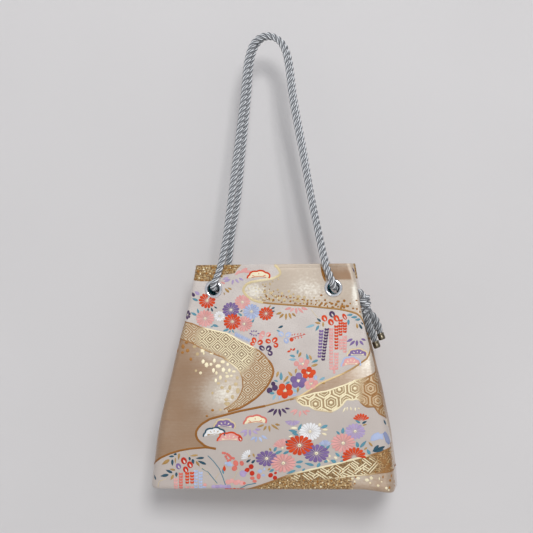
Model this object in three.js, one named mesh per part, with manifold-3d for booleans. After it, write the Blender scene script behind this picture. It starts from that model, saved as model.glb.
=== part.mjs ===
// Drawstring pouch in obi brocade, with a boxed base and a rope handle through metal eyelets.
// Millimetres, +X to the viewer's right, -Y to the front, +Z up.
// The pouch hangs from the origin, which touches the underside of the rope at the top of the handle.
import * as THREE from 'three';
import { mergeVertices } from 'three/addons/utils/BufferGeometryUtils.js';
import Module from 'manifold-3d';

// Where the bag hangs under the top of its handle
const bagCentreX = 9;
const rimDrop = 258;

// Bag body
const bagHeight = 250;
const rimHalfWidth = 90;
const rimHalfDepth = 20;
const baseHalfWidth = 137.5;
const baseHalfDepth = 46;
const collarHeight = 56;
const sideBulge = 5.5;
const bellyDepth = 5;
const rimCornerRadius = 6;
const collarCornerRadius = 4;
const baseCornerRadius = 13;
const baseEdgeRadius = 4;

// Gusset, pinched inwards between its two corner folds
const rimPinch = 3;
const collarPinch = 8.3;
const rimTroughHalfWidth = 11.5;
const collarTroughHalfWidth = 9.7;
const baseTroughHalfWidth = 18;
const pinchFade = 0.8;

// The bag hangs askew, rising to the right, and the right end of its base sags
const rimTilt = 0.011;
const baseTilt = 0.028;
const rightFrontDroop = 3.8;
const rightBackDroop = 14;
const droopStart = 0.72;

// Cloth
const outerThickness = 1.2;
const liningThickness = 0.5;
const clothGap = 0.3;
const liningRimDrop = 2;
const seamGap = 0.3;

// Eyelets and their washers
const eyeletBoreRadius = 6.8;
const eyeletWall = 0.6;
const flangeRadius = 10.3;
const flangeHeight = 2.1;
const flareRadius = 9.2;
const flareHeight = 1.1;
const washerRadius = 10;
const washerThickness = 0.8;
const eyeletClearance = 0.3;
const eyeletSpacing = 137;
const eyeletDrop = 27.5;
const sideEyeletDrop = 31;

// Rope, its knot and its metal end caps
const ropeDiameter = 7.8;
const ropeGap = 0.3;
const neckRadius = 6.1;
const wrapRadius = 3.8;
const wrapRingRadius = 4.1;
const wrapPitch = 6.3;
const wrapCount = 3;
const wrapTilt = 12;
const capRadius = 4;
const capLength = 8;
const capRecess = 4.6;
const capWall = 0.6;
const capRounding = 1;

// Facets
const panelFractions = [0.85, 0.5, 0.17];
const cornerSteps = 4;
const flankSteps = 3;
const bodyStations = 7;
const baseEdgeSteps = 3;
const roundSides = 16;
const ropeSides = 9;

const holeRadius = eyeletBoreRadius + eyeletWall + eyeletClearance;
const ropeRadius = ropeDiameter / 2;
const rimZ = -rimDrop;
const liningInset = outerThickness + clothGap;
const stackThickness = liningInset + liningThickness + eyeletClearance + washerThickness;
const sideSlope = (baseHalfWidth - rimHalfWidth) / bagHeight;

const wasm = await Module();
wasm.setup();

// Solids and booleans

function toSolid(geometry) {
  const bare = geometry.clone();
  for (const name of ['normal', 'uv']) bare.deleteAttribute(name);
  const merged = mergeVertices(bare, 1e-4);
  const corners = merged.index.array;
  const kept = [];
  for (let i = 0; i < corners.length; i += 3) {
    const [a, b, c] = [corners[i], corners[i + 1], corners[i + 2]];
    if (a !== b && b !== c && c !== a) kept.push(a, b, c);
  }
  return new wasm.Manifold(new wasm.Mesh({
    numProp: 3,
    vertProperties: new Float32Array(merged.attributes.position.array),
    triVerts: new Uint32Array(kept),
  }));
}

function toGeometry(solid) {
  const { vertProperties, triVerts } = solid.getMesh();
  const geometry = new THREE.BufferGeometry();
  geometry.setAttribute('position', new THREE.BufferAttribute(new Float32Array(vertProperties), 3));
  geometry.setIndex(new THREE.BufferAttribute(new Uint32Array(triVerts), 1));
  geometry.computeVertexNormals();
  return geometry;
}

// A closed body through rings of equally many points, from the top ring down, with a fan at each end.
function loft(rings, bottomMiddle) {
  const count = rings[0].length;
  const points = rings.flat();
  const top = points.length;
  const bottom = top + 1;
  const middle = (ring) => ring.reduce((sum, p) => sum.add(p), new THREE.Vector3()).divideScalar(count);
  points.push(middle(rings[0]), bottomMiddle);
  const index = [];
  for (let r = 0; r < rings.length - 1; r++) {
    for (let j = 0; j < count; j++) {
      const next = (j + 1) % count;
      const upper = r * count;
      const lower = upper + count;
      index.push(lower + j, lower + next, upper + next, lower + j, upper + next, upper + j);
    }
  }
  const last = (rings.length - 1) * count;
  for (let j = 0; j < count; j++) {
    const next = (j + 1) % count;
    index.push(top, j, next, bottom, last + next, last + j);
  }
  const geometry = new THREE.BufferGeometry().setFromPoints(points);
  geometry.setIndex(index);
  return geometry;
}

// Shape of the bag: every value is a function of the distance below the rim

const smooth = (t) => {
  const u = THREE.MathUtils.clamp(t, 0, 1);
  return u * u * (3 - 2 * u);
};
const mix = (a, b, t) => a + (b - a) * t;
const inCollar = (s) => s / collarHeight;
const belowCollar = (s) => Math.max(0, (s - collarHeight) / (bagHeight - collarHeight));

function halfWidth(s) {
  const bulge = sideBulge * Math.sin(Math.PI * Math.min(1, belowCollar(s)) ** 1.3);
  return rimHalfWidth + sideSlope * s + bulge;
}

function halfDepth(s) {
  const q = belowCollar(s);
  return mix(rimHalfDepth, baseHalfDepth, q * (1 + 0.25 * (1 - q)));
}

function cornerRadius(s) {
  if (s < collarHeight) return mix(rimCornerRadius, collarCornerRadius, inCollar(s));
  return mix(collarCornerRadius, baseCornerRadius, belowCollar(s));
}

function pinch(s) {
  if (s < collarHeight) return mix(rimPinch, collarPinch, inCollar(s));
  return collarPinch * (1 - smooth(belowCollar(s) / pinchFade));
}

function troughHalfWidth(s) {
  if (s < collarHeight) return mix(rimTroughHalfWidth, collarTroughHalfWidth, inCollar(s));
  return mix(collarTroughHalfWidth, baseTroughHalfWidth, belowCollar(s));
}

const belly = (s) => bellyDepth * Math.sin(Math.PI * Math.min(1, belowCollar(s)));

// How far a point of the cloth hangs below its level place, from the tilt and the sagging end.
function droop(x, y, s) {
  const end = smooth((x / halfWidth(s) - droopStart) / (1 - droopStart)) * smooth(s / bagHeight);
  const toBack = (y / halfDepth(s) + 1) / 2;
  return end * mix(rightFrontDroop, rightBackDroop, toBack) - x * mix(rimTilt, baseTilt, s / bagHeight);
}

// A quarter of the section, from the middle of the gusset to the middle of the panel.
function quarterSection(s, inset) {
  const a = halfWidth(s) - inset;
  const b = halfDepth(s) - inset;
  const radius = cornerRadius(s) - inset;
  const depth = pinch(s);
  const trough = troughHalfWidth(s);
  const points = [[a - depth, 0], [a - depth, trough]];
  for (let k = 1; k <= flankSteps; k++) {
    const u = k / (flankSteps + 1);
    points.push([a - depth * (1 - smooth(u)), mix(trough, b - radius, u)]);
  }
  for (let k = 0; k <= cornerSteps; k++) {
    const angle = (k / cornerSteps) * (Math.PI / 2);
    points.push([a - radius + radius * Math.cos(angle), b - radius + radius * Math.sin(angle)]);
  }
  for (const fraction of panelFractions) {
    points.push([(a - radius) * fraction, b + belly(s) * (1 - fraction ** 2)]);
  }
  return points;
}

// The whole section, anticlockwise from above, at s below the rim.
function section(s, inset, z) {
  const quarter = quarterSection(Math.max(s, 0), inset);
  const mirrored = [...quarter].reverse();
  const outline = [
    ...quarter,
    ...mirrored.map(([x, y]) => [-x, y]),
    ...quarter.slice(1).map(([x, y]) => [-x, -y]),
    ...mirrored.slice(0, -1).map(([x, y]) => [x, -y]),
  ];
  return outline.map(([x, y]) => new THREE.Vector3(
    bagCentreX + x, y, z - droop(x, y, Math.max(s, 0))));
}

// The space inside a surface that lies inset from the outside of the bag.
function bagBody(inset, topStation) {
  const sideEnd = bagHeight - baseEdgeRadius;
  const stations = [topStation, collarHeight];
  for (let k = 1; k <= bodyStations; k++) {
    stations.push(mix(collarHeight, sideEnd, k / bodyStations));
  }
  const rings = stations.map((s) => section(s, inset, rimZ - s));
  const edge = baseEdgeRadius - inset;
  for (let k = 1; k <= baseEdgeSteps; k++) {
    const angle = (k / baseEdgeSteps) * (Math.PI / 2);
    const s = sideEnd + edge * Math.sin(angle);
    rings.push(section(s, inset + edge * (1 - Math.cos(angle)), rimZ - s));
  }
  // The middle of the base lies in the plane of its level part, so that all of that part is flat.
  return toSolid(loft(rings, new THREE.Vector3(bagCentreX, 0, rimZ - bagHeight + inset)));
}

// Eyelets

const sideEyeletLean = Math.atan(sideSlope - (collarPinch - rimPinch) / collarHeight);
const sideEyeletX = halfWidth(sideEyeletDrop) - pinch(sideEyeletDrop);
const onCloth = (x, y, s) => new THREE.Vector3(bagCentreX + x, y, rimZ - s - droop(x, y, s));
const eyelets = [];
for (const [side, x] of [['left', -eyeletSpacing / 2], ['right', eyeletSpacing / 2]]) {
  for (const [face, sign] of [['front', -1], ['back', 1]]) {
    eyelets.push({
      name: `${face}_${side}`,
      at: onCloth(x, sign * rimHalfDepth, eyeletDrop),
      out: new THREE.Vector3(0, sign, 0),
    });
  }
}
const sideEyelet = {
  name: 'side',
  at: onCloth(sideEyeletX, 0, sideEyeletDrop),
  out: new THREE.Vector3(Math.cos(sideEyeletLean), 0, Math.sin(sideEyeletLean)),
};
eyelets.push(sideEyelet);

// Turns a body made round the Y axis so that +Y points out of the cloth.
function seat(object, eyelet) {
  object.quaternion.setFromUnitVectors(new THREE.Vector3(0, 1, 0), eyelet.out);
  object.position.copy(eyelet.at);
  return object;
}

function eyeletHole(eyelet) {
  const cutLength = 16;
  const cut = seat(new THREE.Mesh(new THREE.CylinderGeometry(holeRadius, holeRadius, cutLength, roundSides)), eyelet);
  cut.updateMatrix();
  return toSolid(cut.geometry.applyMatrix4(cut.matrix));
}

// A rolled flange over the cloth, a barrel through it, and a flare turned over the washer.
function eyeletGeometry() {
  const barrel = eyeletBoreRadius + eyeletWall;
  const under = eyeletClearance;
  const flare = -(stackThickness + eyeletClearance);
  const profile = [
    [eyeletBoreRadius, flare - flareHeight * 0.7],
    [eyeletBoreRadius, under + flangeHeight * 0.5],
    [mix(eyeletBoreRadius, flangeRadius, 0.2), under + flangeHeight * 0.9],
    [mix(eyeletBoreRadius, flangeRadius, 0.5), under + flangeHeight],
    [mix(eyeletBoreRadius, flangeRadius, 0.8), under + flangeHeight * 0.8],
    [flangeRadius, under + flangeHeight * 0.3],
    [flangeRadius - eyeletWall / 2, under],
    [barrel, under],
    [barrel, flare],
    [flareRadius, flare],
    [flareRadius, flare - flareHeight * 0.4],
    [mix(eyeletBoreRadius, flareRadius, 0.5), flare - flareHeight],
  ].map(([r, h]) => new THREE.Vector2(r, h)).reverse();
  profile.push(profile[0].clone());
  return new THREE.LatheGeometry(profile, roundSides);
}

function washerGeometry() {
  const top = -(liningInset + liningThickness + eyeletClearance);
  const profile = [
    [holeRadius, top],
    [washerRadius, top],
    [washerRadius, top - washerThickness],
    [holeRadius, top - washerThickness],
  ].map(([r, h]) => new THREE.Vector2(r, h)).reverse();
  profile.push(profile[0].clone());
  return new THREE.LatheGeometry(profile, roundSides);
}

// Rope

// A curve whose steps follow its own points, so that close points give a bend more steps.
class Route extends THREE.CatmullRomCurve3 {
  getUtoTmapping(u) {
    return u;
  }
}

function ropeTube(route, radius, stepsPerSpan) {
  const outline = new THREE.Shape();
  for (let k = 0; k < ropeSides; k++) {
    const angle = (k / ropeSides) * Math.PI * 2;
    const point = [radius * Math.cos(angle), radius * Math.sin(angle)];
    if (k === 0) outline.moveTo(...point);
    else outline.lineTo(...point);
  }
  const points = route.map((p) => new THREE.Vector3(...p));
  return new THREE.ExtrudeGeometry(outline, {
    extrudePath: new Route(points, false, 'centripetal'),
    steps: (points.length - 1) * stepsPerSpan,
    bevelEnabled: false,
  });
}

// The loop starts inside the bag at the side eyelet, leaves through the front right eyelet, goes over the top
// of the handle, in through the front left eyelet and straight across, out at the back left, over the top again, and
// comes back in through the back right eyelet to the side eyelet.
const loopRoute = [
  [91.7, -4.2, -289.3],
  [88.6, -4.7, -288.6],
  [85, -6.2, -287.6],
  [81.6, -9, -286.1],
  [79.2, -12.6, -284.3],
  [77.9, -16.8, -282.8],
  [77.5, -21, -282.4],
  [77.4, -24.7, -280.6],
  [76.8, -27.4, -276.8],
  [75, -28.4, -271.7],
  [71.3, -27.9, -263.6],
  [67.5, -26.9, -253.3],
  [60.4, -24, -222],
  [52.5, -20.2, -185.8],
  [41.3, -15.1, -128.9],
  [30, -10, -71.4],
  [23.2, -5.9, -24.9],
  [18.6, -4.4, -9.5],
  [11.5, -4.1, -0.4],
  [1.5, -4.1, 3.9],
  [-8.4, -4.1, 2],
  [-16.6, -4.2, -5.6],
  [-22.2, -5.4, -22],
  [-26.7, -9.9, -70],
  [-33.2, -15, -127.7],
  [-39.4, -20.2, -185],
  [-45, -24.6, -232],
  [-49.9, -27.2, -258.9],
  [-54.2, -28.4, -272.4],
  [-57.6, -27.4, -279.3],
  [-59.3, -24.6, -282.9],
  [-59.5, -21, -284.5],
  [-59.5, -13, -285.5],
  [-59.5, 0, -286.1],
  [-59.5, 13, -285.5],
  [-59.5, 21, -284.5],
  [-59.3, 24.6, -282.9],
  [-57.8, 27.4, -279.3],
  [-54.6, 28.4, -272.4],
  [-51, 27, -255.3],
  [-47.4, 24.2, -227],
  [-39.3, 20.2, -182.6],
  [-32.5, 15, -124.6],
  [-25.7, 9.9, -67.1],
  [-20.6, 5.8, -21.5],
  [-14.6, 4.3, -5],
  [-6.2, 4.1, 3],
  [3.6, 4.1, 4],
  [13.4, 4.1, -1],
  [20, 4.5, -10.8],
  [23.6, 6, -22.8],
  [29.2, 10, -68.4],
  [39.2, 15.1, -125.7],
  [48.8, 20.2, -183.4],
  [57.4, 24, -226],
  [64.4, 27, -255.4],
  [71, 28.4, -267.1],
  [75.4, 28.2, -273.5],
  [77.1, 26.6, -278.1],
  [77.4, 24.2, -280.9],
  [77.5, 20.8, -282.3],
  [77.9, 16.8, -282.8],
  [79.2, 12.6, -284.3],
  [81.6, 9, -286.1],
  [85, 6.2, -287.6],
  [88.6, 4.7, -288.6],
  [91.7, 4.2, -289.3],
];

// Both ends of the loop, pressed together, leave through the side eyelet and turn down into the knot.
const alongSideEyelet = (distance) => sideEyelet.at.clone().addScaledVector(sideEyelet.out, distance);
const neckStart = 5.6;
const knotTop = [110.2, 0.8, -297];
const knotAxis = new THREE.Vector3(0.09, 0, -1).normalize();
const neckRoute = [
  alongSideEyelet(-neckStart).toArray(),
  alongSideEyelet(0).toArray(),
  [104.6, 0.2, -288.8],
  [108.2, 0.5, -291.4],
  knotTop,
];

function knotSolid() {
  const placed = new THREE.Matrix4();
  const tilt = new THREE.Quaternion().setFromEuler(new THREE.Euler(0, THREE.MathUtils.degToRad(wrapTilt), 0));
  let knot = toSolid(ropeTube(neckRoute, neckRadius, 3));
  for (let k = 0; k < wrapCount; k++) {
    const centre = new THREE.Vector3(...knotTop).addScaledVector(knotAxis, k * wrapPitch);
    const wrap = new THREE.TorusGeometry(wrapRingRadius, wrapRadius, 8, 14);
    placed.compose(centre, tilt, new THREE.Vector3(1, 1, 1));
    knot = knot.add(toSolid(wrap.applyMatrix4(placed)));
  }
  const coreLength = wrapCount * wrapPitch;
  const core = new THREE.CylinderGeometry(wrapRingRadius, wrapRingRadius, coreLength, ropeSides);
  const middle = new THREE.Vector3(...knotTop).addScaledVector(knotAxis, ((wrapCount - 1) * wrapPitch) / 2);
  const along = new THREE.Quaternion().setFromUnitVectors(new THREE.Vector3(0, -1, 0), knotAxis);
  placed.compose(middle, along, new THREE.Vector3(1, 1, 1));
  return knot.add(toSolid(core.applyMatrix4(placed)));
}

const tailRoutes = {
  front: [
    [112.4, -3.5, -315],
    [113.9, -4.2, -320.2],
    [116, -4.5, -327],
    [118.6, -4.4, -334],
    [120.8, -4.2, -339.5],
    [122.9, -4, -344.8],
  ],
  back: [
    [116.8, 4.8, -315],
    [120, 5, -316.6],
    [123.4, 5.2, -321],
    [126, 5.2, -327],
    [128, 5.2, -332.4],
    [129.2, 5.2, -336],
  ],
};

const tailEnd = (route) => {
  const end = new THREE.Vector3(...route[route.length - 1]);
  const out = end.clone().sub(new THREE.Vector3(...route[route.length - 2])).normalize();
  return { end, out };
};

// A tail, with its end narrowed to go into the cap.
function tailSolid(route) {
  const { end, out } = tailEnd(route);
  const plugRadius = capRadius - capWall - ropeGap;
  const plug = new THREE.CylinderGeometry(plugRadius, plugRadius, capRecess * 2, ropeSides);
  const turn = new THREE.Quaternion().setFromUnitVectors(new THREE.Vector3(0, 1, 0), out);
  plug.applyMatrix4(new THREE.Matrix4().compose(end, turn, new THREE.Vector3(1, 1, 1)));
  return toSolid(ropeTube(route, ropeRadius, 2)).add(toSolid(plug));
}

// A turned cup over the end of a tail, made round the Y axis with its mouth at the origin.
function capGeometry() {
  const recessRadius = capRadius - capWall;
  const profile = [
    [0, capLength],
    [capRadius - capRounding, capLength],
    [capRadius - capRounding * 0.3, capLength - capRounding * 0.3],
    [capRadius, capLength - capRounding],
    [capRadius, 0],
    [recessRadius, 0],
    [recessRadius, capRecess + ropeGap],
    [0, capRecess + ropeGap],
  ].map(([r, h]) => new THREE.Vector2(r, h)).reverse();
  return new THREE.LatheGeometry(profile, roundSides);
}

// Assembly

const group = new THREE.Group();
const brocade = { color: 0xd4c7bc, roughness: 0.5, metalness: 0.1 };
const teal = { color: 0x1f6a72, roughness: 0.6, metalness: 0 };
const chrome = { color: 0xc9cccf, roughness: 0.15, metalness: 1 };
const silverCord = { color: 0xa4a8ac, roughness: 0.55, metalness: 0.2 };

function piece(name, geometry, finish) {
  const mesh = new THREE.Mesh(geometry, new THREE.MeshStandardMaterial(finish));
  mesh.name = name;
  group.add(mesh);
  return mesh;
}

// The half of space in front of or behind the seams.
function halfSpace(side) {
  const reach = 2000;
  const box = new THREE.BoxGeometry(reach, reach, reach);
  box.translate(0, side * (reach / 2 + seamGap / 2), 0);
  return toSolid(box);
}

const holes = eyelets.map(eyeletHole).reduce((all, hole) => all.add(hole));
const rimMargin = 2;
const outerShell = bagBody(0, 0).subtract(bagBody(outerThickness, -rimMargin)).subtract(holes);
const liningShell = bagBody(liningInset, liningRimDrop)
  .subtract(bagBody(liningInset + liningThickness, -rimMargin))
  .subtract(holes);
for (const [side, sign] of [['front', -1], ['back', 1]]) {
  piece(`outer_${side}`, toGeometry(outerShell.intersect(halfSpace(sign))), brocade);
  piece(`lining_${side}`, toGeometry(liningShell.intersect(halfSpace(sign))), teal);
}

for (const eyelet of eyelets) {
  seat(piece(`eyelet_${eyelet.name}`, eyeletGeometry(), chrome), eyelet);
  seat(piece(`washer_${eyelet.name}`, washerGeometry(), chrome), eyelet);
}

piece('handle_rope', ropeTube(loopRoute, ropeRadius, 1), silverCord);
piece('rope_knot', toGeometry(knotSolid()), silverCord);
for (const [side, route] of Object.entries(tailRoutes)) {
  piece(`rope_tail_${side}`, toGeometry(tailSolid(route)), silverCord);
  const { end, out } = tailEnd(route);
  const cap = piece(`tail_cap_${side}`, capGeometry(), chrome);
  cap.position.copy(end).addScaledVector(out, ropeGap);
  cap.quaternion.setFromUnitVectors(new THREE.Vector3(0, 1, 0), out);
}

export default group;
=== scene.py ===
# Drawstring pouch in obi brocade, hanging from its rope handle.
# Shapes are worked out in millimetres and made in metres: +X to the viewer's right, -Y to the front, +Z up.
import math

import bpy
import numpy as np
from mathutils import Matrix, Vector


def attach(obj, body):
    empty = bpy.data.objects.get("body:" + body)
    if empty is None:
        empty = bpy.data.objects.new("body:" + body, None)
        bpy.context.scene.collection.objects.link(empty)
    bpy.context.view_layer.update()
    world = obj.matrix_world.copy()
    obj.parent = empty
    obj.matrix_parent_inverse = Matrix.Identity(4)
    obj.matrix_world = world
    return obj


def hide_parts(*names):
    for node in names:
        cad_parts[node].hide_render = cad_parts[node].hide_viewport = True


MM = 0.001
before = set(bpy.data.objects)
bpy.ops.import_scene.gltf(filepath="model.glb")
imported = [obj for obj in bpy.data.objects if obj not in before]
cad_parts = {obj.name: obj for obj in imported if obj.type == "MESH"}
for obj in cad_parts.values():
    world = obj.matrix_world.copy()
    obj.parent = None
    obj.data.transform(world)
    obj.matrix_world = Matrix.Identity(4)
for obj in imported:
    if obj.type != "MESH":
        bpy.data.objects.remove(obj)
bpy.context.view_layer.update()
scene = bpy.context.scene

# Camera: level, turned nine degrees, at the height of the pouch's mouth
VIEW_TURN = math.radians(9)
VIEW_DISTANCE = 1.277
VIEW_LENS = 75
NEAREST_SEEN = 0.02
VIEW_AIM = Vector((-0.0017, 0, -0.2606))
view_along = Vector((-math.sin(VIEW_TURN), math.cos(VIEW_TURN), 0))

camera = bpy.data.objects.new("camera", bpy.data.cameras.new("camera"))
camera.location = VIEW_AIM - view_along * VIEW_DISTANCE
camera.rotation_euler = (math.pi / 2, 0, VIEW_TURN)
camera.data.lens = VIEW_LENS
camera.data.clip_start = NEAREST_SEEN
scene.collection.objects.link(camera)
scene.camera = camera


# Small tools


def smoothstep(t):
    t = np.clip(t, 0, 1)
    return t * t * (3 - 2 * t)


def lerp(a, b, t):
    return a + (b - a) * t


def make_mesh(name, points, faces, finish, sharp_angle):
    """A piece from points in millimetres, riding on the pouch, smooth but for edges over an angle in degrees."""
    mesh = bpy.data.meshes.new(name)
    mesh.from_pydata((np.asarray(points) * MM).tolist(), [], faces)
    mesh.shade_smooth()
    mesh.set_sharp_from_angle(angle=math.radians(sharp_angle))
    mesh.materials.append(finish)
    piece = bpy.data.objects.new(name, mesh)
    scene.collection.objects.link(piece)
    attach(piece, "root")
    return piece


def add_vectors(piece, name, values):
    """Keeps three numbers under a name for each point of the mesh, for its finish to read."""
    layer = piece.data.attributes.new(name, "FLOAT_VECTOR", "POINT")
    layer.data.foreach_set("vector", np.asarray(values, np.float32).ravel())


# Finishes

YARNS_IN_STRAND = 7
WEAVE_PER_METRE = 9000.0


class Wire:
    """A node's output, with the operators of arithmetic on it."""

    def __init__(self, finish, socket):
        self.finish = finish
        self.socket = socket

    def maths(self, operation, *values):
        return self.finish.node("ShaderNodeMath", {"operation": operation}, dict(enumerate(values)))

    def __add__(self, other):
        return self.maths("ADD", self, other)

    __radd__ = __add__

    def __sub__(self, other):
        return self.maths("SUBTRACT", self, other)

    def __rsub__(self, other):
        return self.maths("SUBTRACT", other, self)

    def __mul__(self, other):
        return self.maths("MULTIPLY", self, other)

    __rmul__ = __mul__

    def sine(self):
        return self.maths("SINE", self)

    def size(self):
        return self.maths("ABSOLUTE", self)

    def clipped(self):
        """Held between 0 and 1."""
        return self.finish.node("ShaderNodeClamp", {}, {0: self})

    def spread(self, low, high, to_low=0.0, to_high=1.0):
        """Taken from the range low to high to another range, and held to its ends."""
        values = {0: self, 1: low, 2: high, 3: to_low, 4: to_high}
        return self.finish.node("ShaderNodeMapRange", {"interpolation_type": "SMOOTHSTEP"}, values)


class Finish:
    """A material around one principled shader."""

    def __init__(self, name, **constants):
        self.material = bpy.data.materials.new(name)
        self.material.use_nodes = True
        self.tree = self.material.node_tree
        self.shader = self.tree.nodes["Principled BSDF"]
        for key, value in constants.items():
            socket = self.shader.inputs[key.replace("_", " ").title().replace("Ior", "IOR")]
            socket.default_value = (*value, 1) if isinstance(value, tuple) and len(value) == 3 else value

    def node(self, kind, settings=None, inputs=None, output=0):
        """One output of a new node, from its type, its settings and the values or links of its inputs."""
        made = self.tree.nodes.new(kind)
        for key, value in (settings or {}).items():
            setattr(made, key, value)
        for key, value in (inputs or {}).items():
            if isinstance(value, Wire):
                self.tree.links.new(value.socket, made.inputs[key])
            else:
                made.inputs[key].default_value = value
        return Wire(self, made.outputs[output])

    def place(self):
        return self.node("ShaderNodeTexCoord", output="Object")

    def parted(self, vector):
        """The three numbers of a vector."""
        return [self.node("ShaderNodeSeparateXYZ", {}, {0: vector}, output=k) for k in range(3)]

    def kept(self, name):
        """The three numbers that the mesh keeps under this name."""
        return self.parted(self.node("ShaderNodeAttribute", {"attribute_name": name}, output="Vector"))

    def noise(self, scale, detail=2.0, at=None):
        values = {"Vector": at or self.place(), "Scale": scale, "Detail": detail}
        return self.node("ShaderNodeTexNoise", {}, values)

    def vector(self, x, y, z=0.0):
        return self.node("ShaderNodeCombineXYZ", {}, {0: x, 1: y, 2: z})

    def blend(self, factor, first, second):
        first, second = [(*c, 1) if isinstance(c, tuple) else c for c in (first, second)]
        return self.node("ShaderNodeMix", {"data_type": "RGBA"}, {0: factor, 6: first, 7: second}, output=2)

    def feed(self, name, wire):
        self.tree.links.new(wire.socket, self.shader.inputs[name])

    def bump(self, height, strength, depth):
        values = {"Height": height, "Strength": strength, "Distance": depth}
        self.feed("Normal", self.node("ShaderNodeBump", {}, values))


def rgb(red, green, blue):
    """A colour as it is seen on a screen, from 0 to 255, as the shader wants it."""
    shares = (red / 255, green / 255, blue / 255)
    return tuple(c / 12.92 if c <= 0.04045 else ((c + 0.055) / 1.055) ** 2.4 for c in shares)


def cord_finish(name, light):
    """Silky yarn: each strand is grey along its crown, with a painted highlight beside the groove and painted shade
    in it. The number light scales the crown and highlight colours, so that a copy of the cord can be painted darker
    as painted shade.
    """

    def lit(*colour):
        return rgb(*(c * light for c in colour))

    finish = Finish(name, roughness=0.42, sheen_weight=0.2, sheen_roughness=0.4, specular_ior_level=0.6)
    around, along, _ = finish.kept("strand")
    off_crown = (around - 0.5).size() * 2
    yarns = (around * (2 * math.pi * YARNS_IN_STRAND) + along * 1.4).sine() * 0.5 + 0.5
    hairs = finish.noise(1.0, 3.0, finish.vector(around * 30.0, along * 0.5))
    crown = finish.blend((yarns * 0.5 + hairs * 0.7 - 0.1).clipped(), lit(66, 69, 75), lit(128, 131, 136))
    # Painted highlight: a bright line along each side of a strand, beside the groove.
    painted_highlight = off_crown.spread(0.34, 0.5) * off_crown.spread(0.7, 0.84, 1, 0)
    colour = finish.blend(painted_highlight, crown, lit(226, 229, 232))
    # Painted shade: the groove between the strands is made dark.
    colour = finish.blend(off_crown.spread(0.78, 0.95), colour, rgb(34, 37, 43))
    finish.feed("Base Color", colour)
    finish.bump(yarns * 0.7 + hairs * 0.3, 0.6, 0.0004)
    return finish.material


def chrome_finish(name, tint, worn, dullest=0.22):
    """Plated metal with fine worn specks."""
    finish = Finish(name, metallic=1.0, roughness=0.12)
    specks = finish.noise(900.0, 3.0)
    finish.feed("Base Color", finish.blend(specks.spread(0.3, 0.8), tint, worn))
    finish.feed("Roughness", specks.spread(0.3, 0.8, dullest * 0.5, dullest))
    finish.bump(specks, 0.05, 0.0001)
    return finish.material


def lining_finish():
    """Plain-woven teal cloth."""
    finish = Finish("teal_lining", roughness=0.5, sheen_weight=0.3, specular_ior_level=0.4)
    x, _, z = finish.parted(finish.place())
    mottle = finish.noise(60.0)
    finish.feed("Base Color", finish.blend(mottle, rgb(26, 108, 120), rgb(42, 138, 148)))
    finish.bump((x * WEAVE_PER_METRE).sine() * (z * WEAVE_PER_METRE).sine(), 0.35, 0.0002)
    return finish.material


def brocade_finish():
    """Satin ground with fields of metallic silk, which the mesh's own numbers mark, with painted sheen on the silk
    and painted glints on its gold thread.
    """
    finish = Finish("brocade", roughness=0.55, sheen_weight=0.25, sheen_roughness=0.45, specular_ior_level=0.4)
    u, s, _ = finish.kept("cloth")
    silk, tone, painted_glint = finish.kept("field")
    band, shell, rails = finish.kept("gold")
    threads = (u * 12.5).sine() * 0.5 + 0.5
    picks = (s * 9.0).sine() * 0.5 + 0.5
    mottle = finish.noise(1.0, 3.0, finish.vector(u * 0.035, s * 0.035))
    speckle = finish.noise(1.0, 2.0, finish.vector(u * 0.8, s * 0.8))
    # The ground turns darker towards the bottom.
    lower = s.spread(30, 200)
    ground = finish.blend(mottle.spread(0.3, 0.7), rgb(208, 200, 194), rgb(196, 187, 181))
    ground = finish.blend(lower * 0.75, ground, rgb(176, 165, 157))
    ground = finish.blend(speckle.spread(0.45, 0.72, 0, 0.55), ground, rgb(178, 168, 164))
    streaks = finish.noise(1.0, 3.0, finish.vector(u * 0.03, s * 0.7))
    painted_shimmer = finish.noise(1.0, 3.0, finish.vector(u * 0.3, s * 0.42))
    # The silk's lightness is painted sheen: the field's tone, streaked and mottled, with a painted shimmer where
    # the sheen is bright.
    light = (tone + (streaks - 0.5) * 0.14 + (mottle - 0.5) * 0.24 + (painted_shimmer - 0.5) * tone).clipped()
    silk_colour = finish.blend(light.spread(0.0, 0.5), rgb(152, 122, 95), rgb(190, 176, 160))
    silk_colour = finish.blend(light.spread(0.5, 1.0), silk_colour, rgb(230, 225, 213))
    grains = finish.noise(1.0, 2.0, finish.vector(u * 0.55, s * 0.55)).spread(0.44, 0.56)
    # The gold grounds turn darker where the gold thread's painted glint is bright.
    band_gold = finish.blend(painted_glint, rgb(196, 180, 152), rgb(140, 116, 82))
    shell_gold = finish.blend(painted_glint, rgb(176, 150, 114), rgb(150, 124, 84))
    rail_gold = finish.blend(grains, rgb(112, 80, 38), finish.blend(painted_glint, rgb(184, 152, 104), rgb(146, 120, 80)))
    silk_colour = finish.blend(band.spread(-0.3, 0.3, 0, 0.85), silk_colour, band_gold)
    silk_colour = finish.blend(shell.spread(-0.3, 0.3, 0, 0.9), silk_colour, shell_gold)
    silk_colour = finish.blend(rails.spread(-0.6, 0.6, 0, 0.95), silk_colour, rail_gold)
    in_silk = silk.spread(-0.3, 0.3)
    finish.feed("Base Color", finish.blend(in_silk, ground, silk_colour))
    finish.feed("Roughness", in_silk * -0.12 + 0.56)
    finish.feed("Metallic", in_silk * 0.25)
    finish.bump(threads * 0.5 + picks * 0.3 + speckle * 0.5, 0.3, 0.0002)
    return finish.material


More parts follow.
